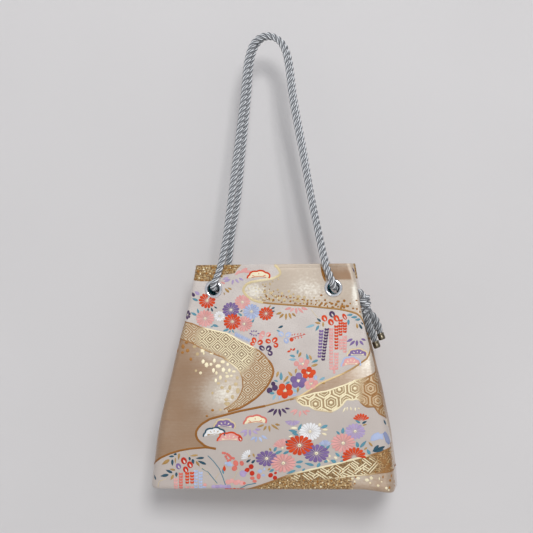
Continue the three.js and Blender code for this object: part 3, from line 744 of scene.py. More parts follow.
# Leaves: tip, foot and width
LEAVES = {
    "teal": [
        (-94, 37.8, -86.9, 40.4), (-87.6, 49.2, -85.9, 55.1, 2.5), (-95.3, 53.7, -88.2, 57),
        (-62.2, 69.8, -69.3, 67.8), (-71.9, 70.7, -68.6, 68.8, 1.6), (-57.3, 75, -50.1, 72.8),
        (-50.6, 77.2, -47.7, 74.4, 1.7), (-43.6, 77.3, -46.4, 73.7, 1.8), (-40.5, 54.8, -35.1, 58.1, 2.5),
        (-27.7, 61.7, -24.3, 65.6, 2.1), (-21.1, 61.7, -23.9, 65.9, 2.1), (4.6, 74.1, 8.5, 76.2, 1.8),
        (48.8, 76, 52.6, 69.4), (20.1, 102, 26.7, 103.9, 2.8), (28.7, 101.5, 29.7, 96.2, 2.3),
        (39.2, 100.5, 41.2, 107.6), (83.3, 58.1, 90.1, 57.3, 2.8), (88.1, 60.4, 95.2, 59.9),
        (92.5, 63.3, 99, 62.2, 2.7), (85.5, 69.5, 85.4, 62.8, 2.8), (45.1, 110.3, 52.5, 107.7),
        (3.4, 129.5, 8, 131.1, 2), (11.2, 120.4, 11.5, 129.8, 3.8), (16.1, 134, 21.2, 131.2, 2.4),
        (-2.5, 143.4, 4.5, 144), (20.4, 184.3, 30.7, 186.5, 3.2), (24.3, 187.1, 32, 190.3, 3.2),
        (35.4, 177.1, 31.6, 184.7, 3.2), (56.1, 182.2, 64.3, 179.2, 3.5), (7.8, 202.2, 4.6, 207.9, 3.2),
        (14.3, 206.7, 5.9, 210.4, 3.2), (23.2, 206.7, 14.9, 210.4), (28.4, 219.9, 37.3, 218.6, 3.2),
        (28.4, 223.7, 35.5, 224.9, 3.5), (38.6, 220.5, 49.5, 223, 3.2), (56.4, 219.3, 52.6, 224.9),
        (39.3, 226.2, 36.5, 230), (60.2, 219, 65.3, 218, 3.2), (18.6, 232.2, 29.1, 228.4), (-0.4, 230, 4.8, 227.5),
        (55.6, 199.8, 61.4, 203.6, 2.5), (66.9, 201.1, 62.6, 204.9), (94.3, 173.5, 100, 177, 2.5),
        (73.6, 185.5, 77.5, 189.3, 2.5), (81.2, 181.5, 80.6, 188.7, 3.9), (107.4, 204.7, 110.9, 210.2, 3.9),
        (107, 195.3, 99.9, 203.7, 3.2), (96.1, 197.2, 97.7, 203.5, 3.9), (72.6, 209, 77.6, 213.4),
        (78.3, 214.7, 82, 212.8), (77.7, 219, 82.7, 218.1, 2.5), (67.6, 217.1, 73.9, 219.7, 3.9),
        (60.9, 218.1, 62.8, 219.6, 3.2), (52.4, 225.6, 56.5, 220.9, 3.2), (-53.7, 226.8, -51.9, 232.8, 2),
    ],
    "deep_teal": [
        (-74.8, 48.7, -75.2, 52.9, 1.7), (-71.8, 48.1, -69.5, 53, 2.2), (-68.2, 47.1, -64.5, 49.4, 1.7),
        (-37.9, 53.5, -34.9, 51.9, 1.4), (-2.3, 50.6, 2.2, 48.7, 2), (-1.6, 53.5, 2.2, 52.9, 1.6),
        (6.2, 72, 12.1, 69.6, 2.6), (50, 61.4, 54.7, 65.4, 2.5), (97, 67.2, 101.1, 73.2),
        (99, 65.6, 102.8, 67.9, 1.7), (19.9, 195.3, 17.4, 198.5, 3.2), (-21.1, 216.2, -26.3, 219.7, 2.5),
        (-15.9, 216.8, -20.5, 220.6), (107.2, 173.8, 101.9, 177.2, 2.4), (125.5, 170.7, 128.8, 176.3, 2.4),
        (113.4, 207.1, 120.2, 198.7, 3.5), (114, 206.7, 126.9, 199.4, 3.5), (114.6, 206.9, 125.9, 203.1, 3.2),
        (-115.5, 213.8, -109.1, 213.4, 2.3), (-109.9, 211.8, -106, 210.7, 2.3), (-111, 224.1, -111.1, 216.8, 3),
        (-90.7, 218.3, -91.5, 214, 2.7), (-86.4, 221.9, -87.9, 216.3, 3.4), (-84.1, 215.6, -74.3, 214.9, 2.7),
        (-82, 218.2, -71.8, 222.2, 3), (-118.6, 228.5, -110.8, 231.7, 3), (-124.8, 235.5, -115, 233.8, 3.4),
        (-106.1, 236.4, -106.2, 231, 3), (-133.8, 234.5, -130.2, 239.7, 2.3),
    ],
    "deep_purple": [
        (-94.5, 30.9, -90.9, 35.8, 3.9), (-3.6, 165.1, 4.7, 161), (3.2, 168.6, 7.3, 161, 3.2),
        (11.9, 169.8, 9.8, 160.7, 3.2), (18.6, 166.1, 12.7, 160.7), (22.4, 161.1, 16.3, 160.4, 2.2),
        (89.9, 4.6, 93.2, 10.7, 1.7),
    ],
    "lilac": [
        (-90.9, 29.9, -85.2, 33.6, 3.9), (-58.5, 16.9, -51.2, 14.4), (-56.5, 19.5, -49.2, 16.4),
        (-47.2, 22.9, -45.8, 17, 2.5), (-39.2, 21, -43.2, 16.4, 2.5), (-33.9, 18.1, -39.2, 15.2, 2.4),
        (-33.7, 187, -25.3, 184.2), (-29.7, 191.7, -25.9, 186.1), (-22.2, 191.1, -22.7, 183.5),
        (-13.5, 188.6, -19.4, 184.8), (-10.3, 183.8, -16.8, 183.5, 2.7),
    ],
    "pink": [
        (-60.5, 19.2, -55.2, 21.5, 2.3), (-43.9, 11.9, -37.9, 6.7, 3.2), (-39.2, 9.9, -29.3, 4.2, 3.9),
        (-35.2, 8, -25.3, 8.1, 3.2), (13.2, 51.7, 20.9, 49.3), (19.5, 54.2, 23.9, 49.6, 2.6),
        (26.9, 56.9, 26.3, 49.6), (35, 55.9, 28.7, 49.7), (39.9, 51.9, 32.3, 49.4), (21.8, 165.1, 29.4, 161.7, 2.5),
        (25.7, 168.3, 30.4, 161.7, 2.5), (32.7, 170.2, 33.9, 163), (41.6, 168.4, 36.1, 162.7, 2.5),
        (44.8, 164, 38.7, 163, 2.5),
    ],
    "old_gold": [
        (-55.8, 26.4, -50.5, 31.6), (-52.5, 26.1, -47.5, 28.1, 2.1), (-55.8, 34.5, -56.5, 31.3, 1.4),
        (-5.4, 49.6, -2.6, 46.4, 1.7), (3.4, 56.7, 10, 54.6, 2.8), (7.1, 61.3, 12.4, 56), (15.1, 63.5, 15.1, 55.5),
        (21.1, 62.2, 18.4, 55.2), (26.4, 59.6, 21.9, 55.5, 2.4), (47.7, 66.2, 54.2, 67.3, 2.7),
        (57.3, 71.6, 57.1, 65.7, 2.4), (30.2, 104.7, 33.2, 98.9, 2.8), (42.4, 101.6, 45, 107.6, 2.7),
        (94.6, 66.6, 95.7, 72.6, 2.6), (44.2, 114.6, 52.2, 112.3), (6.3, 126.6, 8.2, 119.8),
        (13.7, 132.5, 19.7, 124.6), (19, 119.9, 24, 125.2), (27.1, 122.6, 28.3, 116.8, 2.5),
        (55.3, 132.2, 60.9, 133.3, 2.4), (30.3, 143.5, 30.7, 137.3, 2.7), (-15, 181.1, -6.7, 178.3, 2.2),
        (-7.5, 184.9, -4.1, 179.6, 2.5), (-0.1, 186.5, -1.2, 178.9, 2.5), (10.2, 184, 1.1, 178, 2.5),
        (11.4, 178.9, 5.6, 177.7, 2.5), (1.7, 207.3, -0.5, 204.1, 2.2), (-16.9, 214.3, -18.9, 209.8, 2.2),
        (-24.4, 214.3, -22.1, 211.1, 2.2), (-2.3, 228.5, 0.9, 226.2, 2.2), (107.2, 177.3, 102.5, 179, 1.7),
        (108.9, 196.3, 113.6, 201.1, 2.5), (104, 205.7, 107.7, 202.8, 1.9), (-123.4, 222.8, -114.3, 217.1, 4.1),
        (-107.5, 221.7, -107.7, 214.7, 1.6), (-104.1, 217.4, -103.2, 210, 2.7), (-90.8, 213, -81.4, 211.9, 2.3),
        (-79.4, 224.6, -83.7, 218.6, 2.7), (-114.4, 227.4, -107.3, 228.7, 2.3), (-112.7, 239.7, -109.3, 233.7, 3),
    ],
    "coral": [
        (24.9, 80.3, 25.8, 78.2, 1.4), (28.4, 80.1, 29.4, 78, 1.4), (31.6, 79.8, 32.6, 77.7, 1.4),
        (34.9, 79.6, 36.7, 78.3, 1.4), (25.5, 82.2, 26.6, 84.6, 1.4), (29, 81.7, 30.1, 84, 1.4),
        (32.5, 81.2, 33.9, 83.3, 1.4), (22.2, 80.6, 23, 79, 1.3), (22.3, 82.7, 23.4, 84.6, 1.3),
    ],
    "pale_teal": [
        (37.6, 71.9, 47.8, 68.8), (19.5, 107, 27.8, 106.8), (2.3, 151.3, 5.6, 145.5), (24.8, 138.3, 29.2, 143, 2.7),
        (54, 129.8, 60.5, 127), (31.8, 140.9, 33.9, 137.3, 1.8),
    ],
    "purple": [
        (83.5, 87.8, 90.5, 84.2), (86.9, 92.1, 92.9, 86.1), (95, 92.7, 95.2, 85.4), (102.7, 90.8, 98.2, 85.9, 2.8),
        (105.8, 85.4, 99.9, 83.9, 2.5), (-14, 78, -17.1, 78, 1.5), (-17.6, 81.2, -19, 79, 1.5),
        (-21.2, 81.3, -20.9, 78.8, 1.5), (-24.5, 80.1, -22.6, 78.3, 1.5), (-26.6, 78.2, -23.6, 77.6, 1.5),
        (-24.8, 74.4, -22.7, 76.3, 1.5), (-21.5, 73.8, -21, 76.2, 1.5), (-17.9, 74.3, -19.1, 76.5, 1.5),
    ],
    "sky": [
        (9.5, 151.3, 10.5, 146.6, 2), (23.9, 146.6, 29.2, 144.6, 2.4), (49.1, 124.8, 50.8, 130.1, 2.3),
        (-21.9, 195.5, -16.7, 191.4, 2.8), (-16, 197.7, -15.1, 191.4, 2.7), (-8.6, 197.4, -12.2, 191.7, 2.8),
        (-2.5, 194.2, -9.6, 190.1), (-5.6, 225, -6.2, 228.8, 2.5), (-13.9, 229.4, -8.1, 229.4, 4.5),
        (-9.4, 233.9, -4.9, 233.8),
    ],
    "pale_gold": [
        (22.3, 182.1, 30.7, 182.1, 2.5), (20.5, 191.9, 25.6, 190.6, 1.9), (58, 184.1, 64.4, 183.9, 2.5),
        (57.4, 187.6, 63.2, 189.8, 2.5), (80.4, 165.5, 83.5, 159.9, 1.9), (85.4, 163.7, 85.3, 159.3, 1.7),
        (89.8, 163.7, 89.1, 159.4, 1.9), (94.2, 164.4, 94.2, 160, 1.7), (99.8, 161.6, 96.7, 160.2, 1.5),
        (65, 211.5, 67.5, 214), (71.3, 213.4, 75.1, 215.9), (63.1, 215.9, 66.9, 219.6, 2.2),
    ],
    "red": [
        (-51.3, 223.1, -51.3, 229.8, 3.7), (17.1, 98.8, 21.3, 97.3, 2.4), (21, 94.6, 22.4, 96.7, 2.4),
        (24.3, 95.7, 23.8, 97.2, 2.1), (26.4, 94.1, 24.3, 97, 2.1),
    ],
    "amber": [(53.8, 1.1, 59.6, 20.7, 3.3)],
}
# Chrysanthemums: thread, middle, half width, half height, petals, layer, first and last direction
FLOWERS = [
    ("red", -76.2, 40.5, 9.9, 9.9, 13), ("pink", -35.2, 42.5, 9.2, 9.2, 14),
    ("purple", -48.5, 51.2, 9.9, 9.9, 13, 1), ("sky", -24.6, 53.3, 9.8, 9.8, 14, 1),
    ("red", -7.9, 55.8, 8.6, 8.6, 12, 2), ("pink", -78.3, 60.6, 10.7, 10.7, 16, 1),
    ("white", -61.7, 58.1, 6.3, 6.3, 12), ("pink", -32.8, 67.1, 9.8, 9.8, 15, 2),
    ("red", -46.4, 64.5, 10.3, 10.3, 13, 3), ("deep_purple", -99.3, 56.3, 4.1, 6, 7),
    ("white", 44.7, 186, 12.2, 11.2, 18), ("purple", 51.9, 209.8, 14.5, 11.2, 14, 1),
    ("red", 33.1, 201, 15.5, 12.5, 15, 2), ("purple", -3.4, 215.5, 12.5, 9.9, 13, 1),
    ("pink", 15.3, 220.5, 14.2, 11.6, 16, 2), ("pink", 15.5, 204.8, 12.5, 11.2, 8, 0, 75, 160),
    ("sky", 61.4, 203.6, 7.9, 8.6, 8, 0, 35, 145), ("lilac", 25.1, 173.3, 8.6, 6.3, 8, 0, 200, 340),
    ("lilac", 94.4, 186, 11.2, 9.9, 15), ("pink", 81.3, 198.7, 13.5, 11.9, 16, 1),
    ("red", 93.4, 213.8, 13.2, 10.6, 10, 2, 2, 200), ("red", 101.3, 175, 9.9, 8.9, 7, 0, 38, 155),
    ("white", -22.1, 214.9, 9.9, 9.2, 7, 0, 95, 185),
]
# Petals with a slit: middle, half width and half height
RINGS = {
    "pink": [(-11.8, 79.6, 2.9), (-4.4, 79.1, 2.8)],
    "red": [
        (-13.4, 87.8, 3.2, 2.9), (-4.5, 86.5, 2.9), (3.1, 85.2, 3.1), (4.6, 91.1, 3.1, 2.5), (-4.2, 79.3, 2.6),
        (58.5, 61.5, 3.4), (71.9, 61.6, 3.4), (65.8, 65.9, 3.4), (80.9, 59.7, 2.3, 3.4), (-20.5, 85.2, 2.8, 2.9),
        (-22.3, 89.3, 2.3, 2.4),
    ],
    "deep_purple": [(-11.3, 94.1, 2.8, 3.2), (-3.4, 94.4, 3.4, 3), (-1.6, 100, 3.1, 2.6), (67, 57.1, 3.4)],
    "sky": [(9.9, 78.6, 3), (18.1, 79.5, 3.2), (16.1, 86.1, 3)],
    "deep_red": [
        (-97.7, 218.3, 3.6), (-90.6, 222.6, 3.5), (-95.4, 228, 3.3), (-20.7, 224.4, 3, 2.5),
        (-25.3, 228.2, 3.3, 2.2), (-19.7, 231.7, 3, 2.5), (1.2, 233.8, 3, 2.2), (6.1, 236.7, 2.6, 2.2),
        (6.7, 231.3, 1.8, 1.3), (-33.4, 193.5, 2.6, 3),
    ],
    "purple": [(-103.9, 224.4, 3.1)],
    "coral": [(-38.2, 220.7, 3.1), (-31.4, 220.7, 2.5), (-39.6, 226.4, 3.5, 2.5), (-31.5, 220.9, 2.4)],
}
# Round petals and buds: middle, half width, half height and layer
BUDS = {
    "pink": [
        (33.5, 107.6, 2.6), (28.2, 111.5, 2.6), (39.9, 109.5, 2.6), (38.2, 113.7, 2.6), (32.6, 115.5, 2.6),
        (45.2, 129.5, 2.6), (50, 132.7, 2.6), (47.7, 136.6, 2.6), (41.9, 137.1, 2.6), (40.2, 133.1, 2.6),
        (-10.8, 77.4, 2.2), (-13.1, 82.5, 2.2), (-46.7, 241.4, 2.9, 2.4), (-42.6, 240.1, 2.6, 2.2),
        (-37.8, 242.1, 2.9, 2.4), (-30.9, 242.7, 2.8, 2.4), (-35, 240.7, 2.1, 1.8), (-73.2, 244.9, 1.8),
        (70.2, 117.1, 1.7, 2.4), (70.6, 121.2, 1.2, 1.6), (50.1, 132, 2, 2.2),
    ],
    "red": [
        (36.7, 120, 2.8), (42.5, 117.9, 2.8), (47.1, 121.1, 2.8), (44.6, 124.8, 2.8), (38.7, 125, 2.8),
        (12.7, 136.9, 3.4), (20.2, 137.2, 3.4), (21.4, 143, 3.4), (15.9, 146.1, 3.4), (10.4, 142.7, 3.4),
        (22.1, 84.8, 2.1), (-48.4, 250, 2.4, 0.8), (-43.9, 249.9, 1.7, 0.8), (-39.8, 249.7, 1.7, 1),
        (-35.7, 250, 1.7, 0.8), (-30.9, 250.1, 2.4, 0.8),
    ],
    "purple": [
        (31.2, 124.9, 3.4), (25.4, 128.8, 3.4), (27.4, 134.4, 3.4), (34.3, 134.4, 3.4), (36.4, 130, 3.3),
    ],
    "deep_purple": [(2.7, 133.5, 2.2), (4.7, 137.9, 3), (-1.2, 140.8, 3)],
    "pale_gold": [
        (35.4, 111.7, 1.1, 1.1, 1), (42, 121.9, 1.1, 1.1, 1), (30.8, 130.4, 1.4, 1.4, 1),
        (45.1, 133.8, 1.1, 1.1, 1), (16.2, 141.1, 1.4, 1.4, 1), (55.4, 178.5, 1.5), (14.2, 203.8, 1.2),
    ],
    "coral": [
        (-52.9, 209.4, 1.3), (-50.8, 209.7, 1.3), (-49.7, 213.4, 1.3), (-48, 210.7, 1.3), (-46.3, 212, 1.4),
        (-44.7, 213.4, 1.3), (-43.1, 215, 1.4), (-40.8, 215.4, 1.4), (-48.6, 215.7, 1.1), (-46.9, 218.1, 1.4),
        (-44.7, 217, 1.3), (-19.4, 237.1, 2.4, 1.7), (-12.3, 235.1, 2.1, 2.9), (-16.8, 240.5, 2.2, 1.5),
        (-29.4, 242.8, 2.4, 1.6),
    ],
    "sky": [
        (-46.2, 221.4, 2.6), (-74.3, 247.2, 2.5, 1.1), (-43.4, 222.7, 1.5), (-49.6, 220.7, 1.3),
        (50, 126.7, 1.7, 2),
    ],
    "lilac": [
        (-63.2, 246.9, 2.4, 2), (-59.1, 246.8, 2.4, 2), (-54.9, 246.5, 2.4, 2.1), (-50.4, 246.8, 2.5, 2.1),
        (-46, 246.8, 2.4, 2), (-30.3, 232, 3.2), (-29.4, 233.3, 2.6, 2.4), (-26.9, 230.7, 1.7, 1.6),
    ],
}
# Hanging wisteria: thread, top and bottom
TASSELS = [
    ("purple", 55.4, 74.2, 53.8, 105.5), ("deep_purple", 61.6, 72.4, 57.9, 108.8),
    ("pink", 66.3, 72.3, 67.2, 118.8), ("red", 72, 69.1, 72.5, 96.8), ("pink", 72.6, 99.6, 72.9, 118.8),
    ("red", 76.6, 62.5, 76.9, 81.4), ("pink", 77, 84.2, 77.2, 96.9), ("red", 81.4, 65.8, 81.6, 78),
    ("pink", 81.6, 80.8, 81.9, 100.2), ("pink", -106.8, 237.3, -106.5, 250.5),
    ("coral", -101, 231.3, -100.6, 249.9), ("red", -93.6, 230.7, -93.4, 243.9),
    ("pink", -93.4, 245.5, -93.3, 249.9), ("red", -88, 230.1, -87.8, 243.8), ("pink", -87.7, 245.5, -87.7, 249.9),
    ("sky", -83.8, 227.9, -83.5, 249.3), ("sky", -78.3, 230, -78.1, 249.3),
]
# Pine clumps: edge, filling, middle of the foot, half width, height and tilt in degrees
PINES = [
    ("red", "pale_gold", -16.3, 15.8, 13.7, 9.2, 0), ("gold", "purple", -51.2, 182, 12.9, 10.2, -3),
    ("coral", "pale_gold", -16.6, 177.2, 13.5, 9.6, 3), ("deep_teal", "white", -62.9, 190.9, 13.2, 9.9, 4),
    ("red", "pink", -45.5, 196.5, 14.4, 10.2, 0), ("gold", "purple", 96.1, 103.1, 11.8, 8.7, 4),
    ("sky", "pink", 89.4, 114.2, 11.3, 10.8, 5),
]
# Flecks of gold leaf: middle, half width and half height
FLECKS = {
    "pale_gold": [
        (-79.7, 96.6, 3), (-78.2, 99.8, 1.3, 2), (-68.8, 99.9, 3, 1.3), (-78.5, 108.8, 2.3, 3),
        (-74.3, 112.6, 2.6, 3.3), (-69.3, 112, 2), (-65.5, 107.8, 2, 3), (-60.9, 113.9, 3.6, 2.6),
        (-55.8, 109.1, 3, 2.3), (-50, 112, 2, 2.3), (-66.1, 118.6, 2, 3), (-62.6, 121.5, 1.7, 2.3),
        (-54.8, 118, 2.6, 3.3), (-47.8, 118.6, 2, 2.6), (-42.5, 119.9, 2.6, 1.7), (-51, 121.5, 2, 1.3),
        (-57.8, 126.6, 2, 3), (-49.9, 125.3, 2.6, 2), (-45.3, 124.7, 2, 1.7), (-63, 129.7, 1.7, 2.6),
        (-81, 121.5, 2), (112.3, 235.7, 2.3), (107.6, 238.5, 2.6, 2), (97.9, 237.2, 2.6, 1.7), (121, 235.1, 0.9, 2),
        (111.1, 241.2, 1.3), (123.6, 238.2, 1.1), (119.8, 242.8, 1.8, 1.7), (128.9, 244.5, 1.8, 1.7),
        (131.7, 246.5, 1.2), (91.6, 237.5, 2, 1.5), (94.2, 240.6, 1.3), (-80.1, 5.2, 1.4), (-84.1, 9.9, 1.2, 1.5),
        (-85.4, 14.7, 1, 1.5), (-81.4, -0.1, 1.1, 0.9), (-76.9, 3.5, 1.1, 0.9), (-72.5, 9.6, 1.1, 1),
        (-78.7, 7.4, 1.1, 0.9), (-87.4, 3.8, 0.9, 1.1), (-49.3, 3.3, 1, 0.9), (-44, 4.7, 1.1, 0.7),
    ],
    "fleck": [
        (-89.3, 92.1, 3, 2), (-85.6, 100.5, 2.3), (-86.5, 119, 1.7), (-66.2, 143.7, 1.7, 2), (-38.3, 126.9, 2, 2.3),
        (-59.6, 132.9, 2.3, 1.7), (-51.4, 130.3, 1.7, 2), (-39.7, 133.8, 2.6, 2.3), (-46.5, 137.6, 2, 3),
        (-55.4, 137.6, 2.6, 2), (-48.7, 141.7, 2.3, 2), (-37.2, 141.1, 2.6, 3.6), (-43.2, 148, 2.3, 3),
        (-50.4, 151.2, 2), (-49, 155, 4, 2), (-50.2, 150.8, 3, 2), (-48.8, 155.8, 3, 2.3), (-56.5, 162.2, 1.7),
        (-3.4, 22.3, 1.4, 1.8), (-9.5, 31, 2.2, 2), (-2.2, 32.6, 2.6, 2), (-2.6, 40.2, 2.6, 1.5),
        (2.6, 36.3, 2.6, 1.9), (5.4, 29.1, 1.4, 1.5), (7.4, 38.3, 3, 2.4), (10.2, 33.2, 2, 1.9),
        (13, 40.7, 2.6, 2.2), (18.2, 30.9, 1.8), (19.8, 36.4, 2.3, 2.2), (19.4, 41.6, 1.4, 1.1), (23.4, 34.1, 1.4),
        (25.4, 40.8, 2.6, 1.9), (29, 36.9, 3, 1.8), (29, 41.7, 3, 2.4), (35.7, 37.8, 1.8, 2.2),
        (35.7, 43.3, 2.2, 1.8), (40.1, 40.6, 1.2, 1.5), (42.9, 44.9, 1.4, 1), (46.9, 38.3, 1.1), (49.6, 44.6, 1.1),
        (52.4, 41.5, 1.4, 1.5), (6.2, 16.9, 1.3, 1), (-0.2, 19.2, 1), (-11.5, 23, 1.1, 1.4), (-8.2, 22.3, 1),
        (-13.9, 37.3, 1.4), (-9.9, 40.5, 1.4, 1), (-6.2, 37.4, 1.1), (-76.9, 0.4, 1.5, 1.2), (-73.4, 3.5, 1.5, 1.3),
        (-75.1, 6.1, 1.3, 1.1), (-70.7, 7, 1.3), (-78.7, 13, 1.5, 1.1), (-75.1, 14.8, 1.3, 0.9),
        (-80.5, 3, 1.3, 1.1), (-64.4, 1.9, 1.3), (-52.9, 8.5, 1.5, 0.9), (-54.7, 10.7, 1.3, 0.9),
        (-42.7, 2.1, 1.3, 1.1), (-82.7, 13, 1.1, 1.3),
    ],
    "amber": [
        (-107, 86.4, 1, 2), (-102.8, 92.1, 2.3, 3), (-98.9, 87.6, 2.3, 1.7), (-97.2, 96.6, 2.6),
        (-103.2, 98.8, 2.1, 1.8), (-109.9, 96.7, 1.3, 2.6), (-93.1, 106.2, 2, 2.3), (-65.5, 162.5, 2, 1.7),
        (-72, 168.9, 1.7, 1.3), (135.6, 231.1, 1, 2), (125.1, 232.7, 0.9, 1.8), (133.7, 236, 1.4, 1.7),
        (142.5, 237.5, 1.5, 2), (143.2, 242, 1.1, 1.4), (132.8, 243.7, 1.2, 1.7), (54.4, 45.4, 1.4, 1.1),
        (59.1, 41.1, 1.4, 1.5), (59.5, 45.5, 1.5, 1.4), (54.8, 35.6, 1.8, 1.3), (66.7, 45.2, 2.2, 1.5),
        (73.8, 42.8, 2.3, 1.5), (71, 46.8, 1.5, 1.4), (78.5, 48, 2.2, 1.5), (80.4, 42, 1.4, 1.8), (80.6, 41.9, 1.8),
        (78.1, 48, 2.3, 1.6), (84.1, 47.9, 2.3, 1.6), (87.3, 45, 1.2), (90.6, 50.4, 1.6, 1.2),
        (94.5, 41.5, 1.6, 0.9), (94.8, 51, 1.6, 1.2), (101, 48.6, 1.6), (102.1, 51.1, 1.6, 1.2), (98.4, 54.2, 1.4),
        (-84.5, 1.2, 2.6, 1.8), (-86.6, 7.3, 1.9, 1.7), (-89.8, 12.1, 1.3, 1.2), (-90.4, 16.2, 2, 1),
        (-82.3, 17.3, 2.6, 1.1), (-76.3, 17.4, 1.5, 0.7), (-71.6, 13.1, 1.5, 1.2), (-69.3, 3.1, 2, 1.3),
        (-68, 9.2, 1.3, 2), (-66.2, 13.2, 1.3, 1.1), (-76.9, 9.6, 1.5, 1.3), (-54.7, 3.7, 1.3, 1.8),
        (-47.1, 2.5, 2.6, 1.1), (-50.2, 5.5, 1.5, 1.1),
    ],
}
# Edges of the fields of silk and of the large forms in them
BAND_OUTSIDE = [
    (-200, 64.2), (-103.5, 64.2), (-103.5, 64.2), (-93.4, 66.3), (-83.9, 70.3), (-69.7, 73.7), (-53.3, 77.2),
    (-45, 81.1), (-36.7, 86.1), (-29.7, 89.5), (-22.7, 92.9), (-13.6, 97.6), (-8, 102.3), (-3.5, 107.7),
    (-0.1, 111.9), (1.9, 116.2), (2.6, 120.3), (1.7, 125.1), (-0.7, 130.3), (-3.8, 135.6), (-8, 140.8),
    (-12.2, 145), (-17.5, 149.7), (-25.9, 155.3), (-34.3, 160), (-48, 163.9),
]
BAND_INSIDE = [
    (-200, 83.7), (-106.7, 83.7), (-102.1, 84.7), (-92.5, 88.1), (-85.3, 92.1), (-76.9, 96), (-67.4, 99.9),
    (-56.8, 103.8), (-45, 111.6), (-39.1, 116), (-35.5, 120.4), (-32.5, 127), (-31.5, 136.9), (-33.6, 143.5),
    (-38, 151.2), (-45.8, 157.8), (-52.6, 161.7),
]
STREAM = [
    (200, 89.8), (111.8, 89.8), (112.5, 92.8), (111.1, 96.5), (108.8, 100.8), (106.2, 105.6), (99.5, 110.6),
    (92.9, 115.7), (88, 118.9), (80.3, 122.9), (71.5, 126.5), (63.8, 129.7), (55, 133.5), (44, 140.5), (33, 147.2),
    (21.9, 150.6), (10.8, 153.5), (-6, 157.8), (-22.9, 161.1), (-34.3, 163.3), (-51.3, 167.7), (-68.5, 172.2),
    (-77.7, 177.7), (-81.6, 181.6), (-84.2, 186), (-84.3, 189.9), (-83.1, 193.7), (-80.7, 196.5), (-73.7, 201.9),
    (-67.9, 203.9), (-61, 204.9),
]
STREAM_FOOT = [
    (21.9, 151.1), (28.6, 149.2), (41.9, 146), (49.6, 143.9), (62.4, 142), (71.7, 139), (81.3, 135.9),
    (90.7, 132.1), (93.6, 130.2), (98.9, 128.7), (105.1, 126.7), (111.5, 123.3), (118.9, 119), (118.5, 115.2),
    (200, 115.2),
]
SCALLOPS = [
    (28.6, 149.6), (30.3, 153), (36.5, 157.4), (43.2, 158), (49.9, 162), (56.2, 163.1), (61.6, 163.6),
    (67.6, 164.9), (75.3, 161.1), (80.3, 156.8), (83.3, 152.4), (85.2, 151.1), (90.9, 151.8), (95.3, 150.5),
    (99.1, 151.7), (100.4, 154.2), (103.6, 156.8), (106.8, 158.4), (110.5, 158.1), (114.8, 157.2), (116.8, 159.5),
    (120.6, 164.7), (125.7, 166.8), (132, 169.2), (200, 169.2),
]
FENCE_TOP = [
    (-26.5, 251.1), (-22, 249.3), (-14.1, 246.6), (-1, 242.1), (8.6, 238.5), (18.2, 235), (22.8, 233.1),
    (37.2, 229.7), (50.5, 226.5), (61.9, 224.1), (78.9, 220.1), (85.8, 218.3), (99, 215), (113.4, 210.1),
    (122.7, 206.1), (128.4, 203.1), (138, 200), (137.2, 197), (200, 197),
]
FENCE_FOOT = [
    (72.6, 237.1), (79.2, 236.2), (88.4, 234.8), (97.8, 234.2), (107.3, 233.2), (118.5, 229.5), (126.1, 227.7),
    (136, 225.8), (141, 224.8), (200, 224.8),
]
POOL_TIP = [
    (-1, -1.1), (3.8, 2.5), (7, 6.2), (8.6, 10.2), (6.2, 13.3), (1.4, 15.6), (-3.4, 16.8), (-9.8, 17.5),
    (-17.1, 18.6), (-25.2, 19.8), (-30.1, 22.1), (-33.3, 25.2), (-34.4, 29.2), (-32.5, 33.2), (-28.4, 37.2),
    (-22.8, 40.4), (-16.3, 42.5), (-11.4, 43.3),
]
POOL_FOOT = [
    (-11.4, 43.3), (-3.5, 44.3), (7.9, 45.3), (30.7, 47), (44.3, 48.1), (57.8, 49.6), (71.3, 51), (82, 52.7),
    (88.7, 54.3), (94.2, 55.9), (98.9, 59.3), (103.1, 64.6), (105.8, 69.8), (200, 69.8),
]
PLUME = [
    (125.1, 192.5), (121.9, 191.7), (117.4, 193.6), (113.8, 195.2), (110.9, 194.8), (112, 190.2), (114.6, 187.1),
    (119.1, 184.8), (124.6, 185.7), (126.9, 183.2), (129.3, 185.3), (132.1, 188.7), (136.2, 193.3), (134, 196.8),
    (131, 197.6), (127.8, 194.7),
]
SHORE = [
    (-61, 204.9), (-65.6, 204.1), (-73.6, 203.5), (-79.4, 204), (-91, 205), (-102.5, 207.1), (-114.1, 210.5),
    (-123.4, 214.5), (-132.7, 219.9), (-138, 223.2), (-200, 223.2),
]
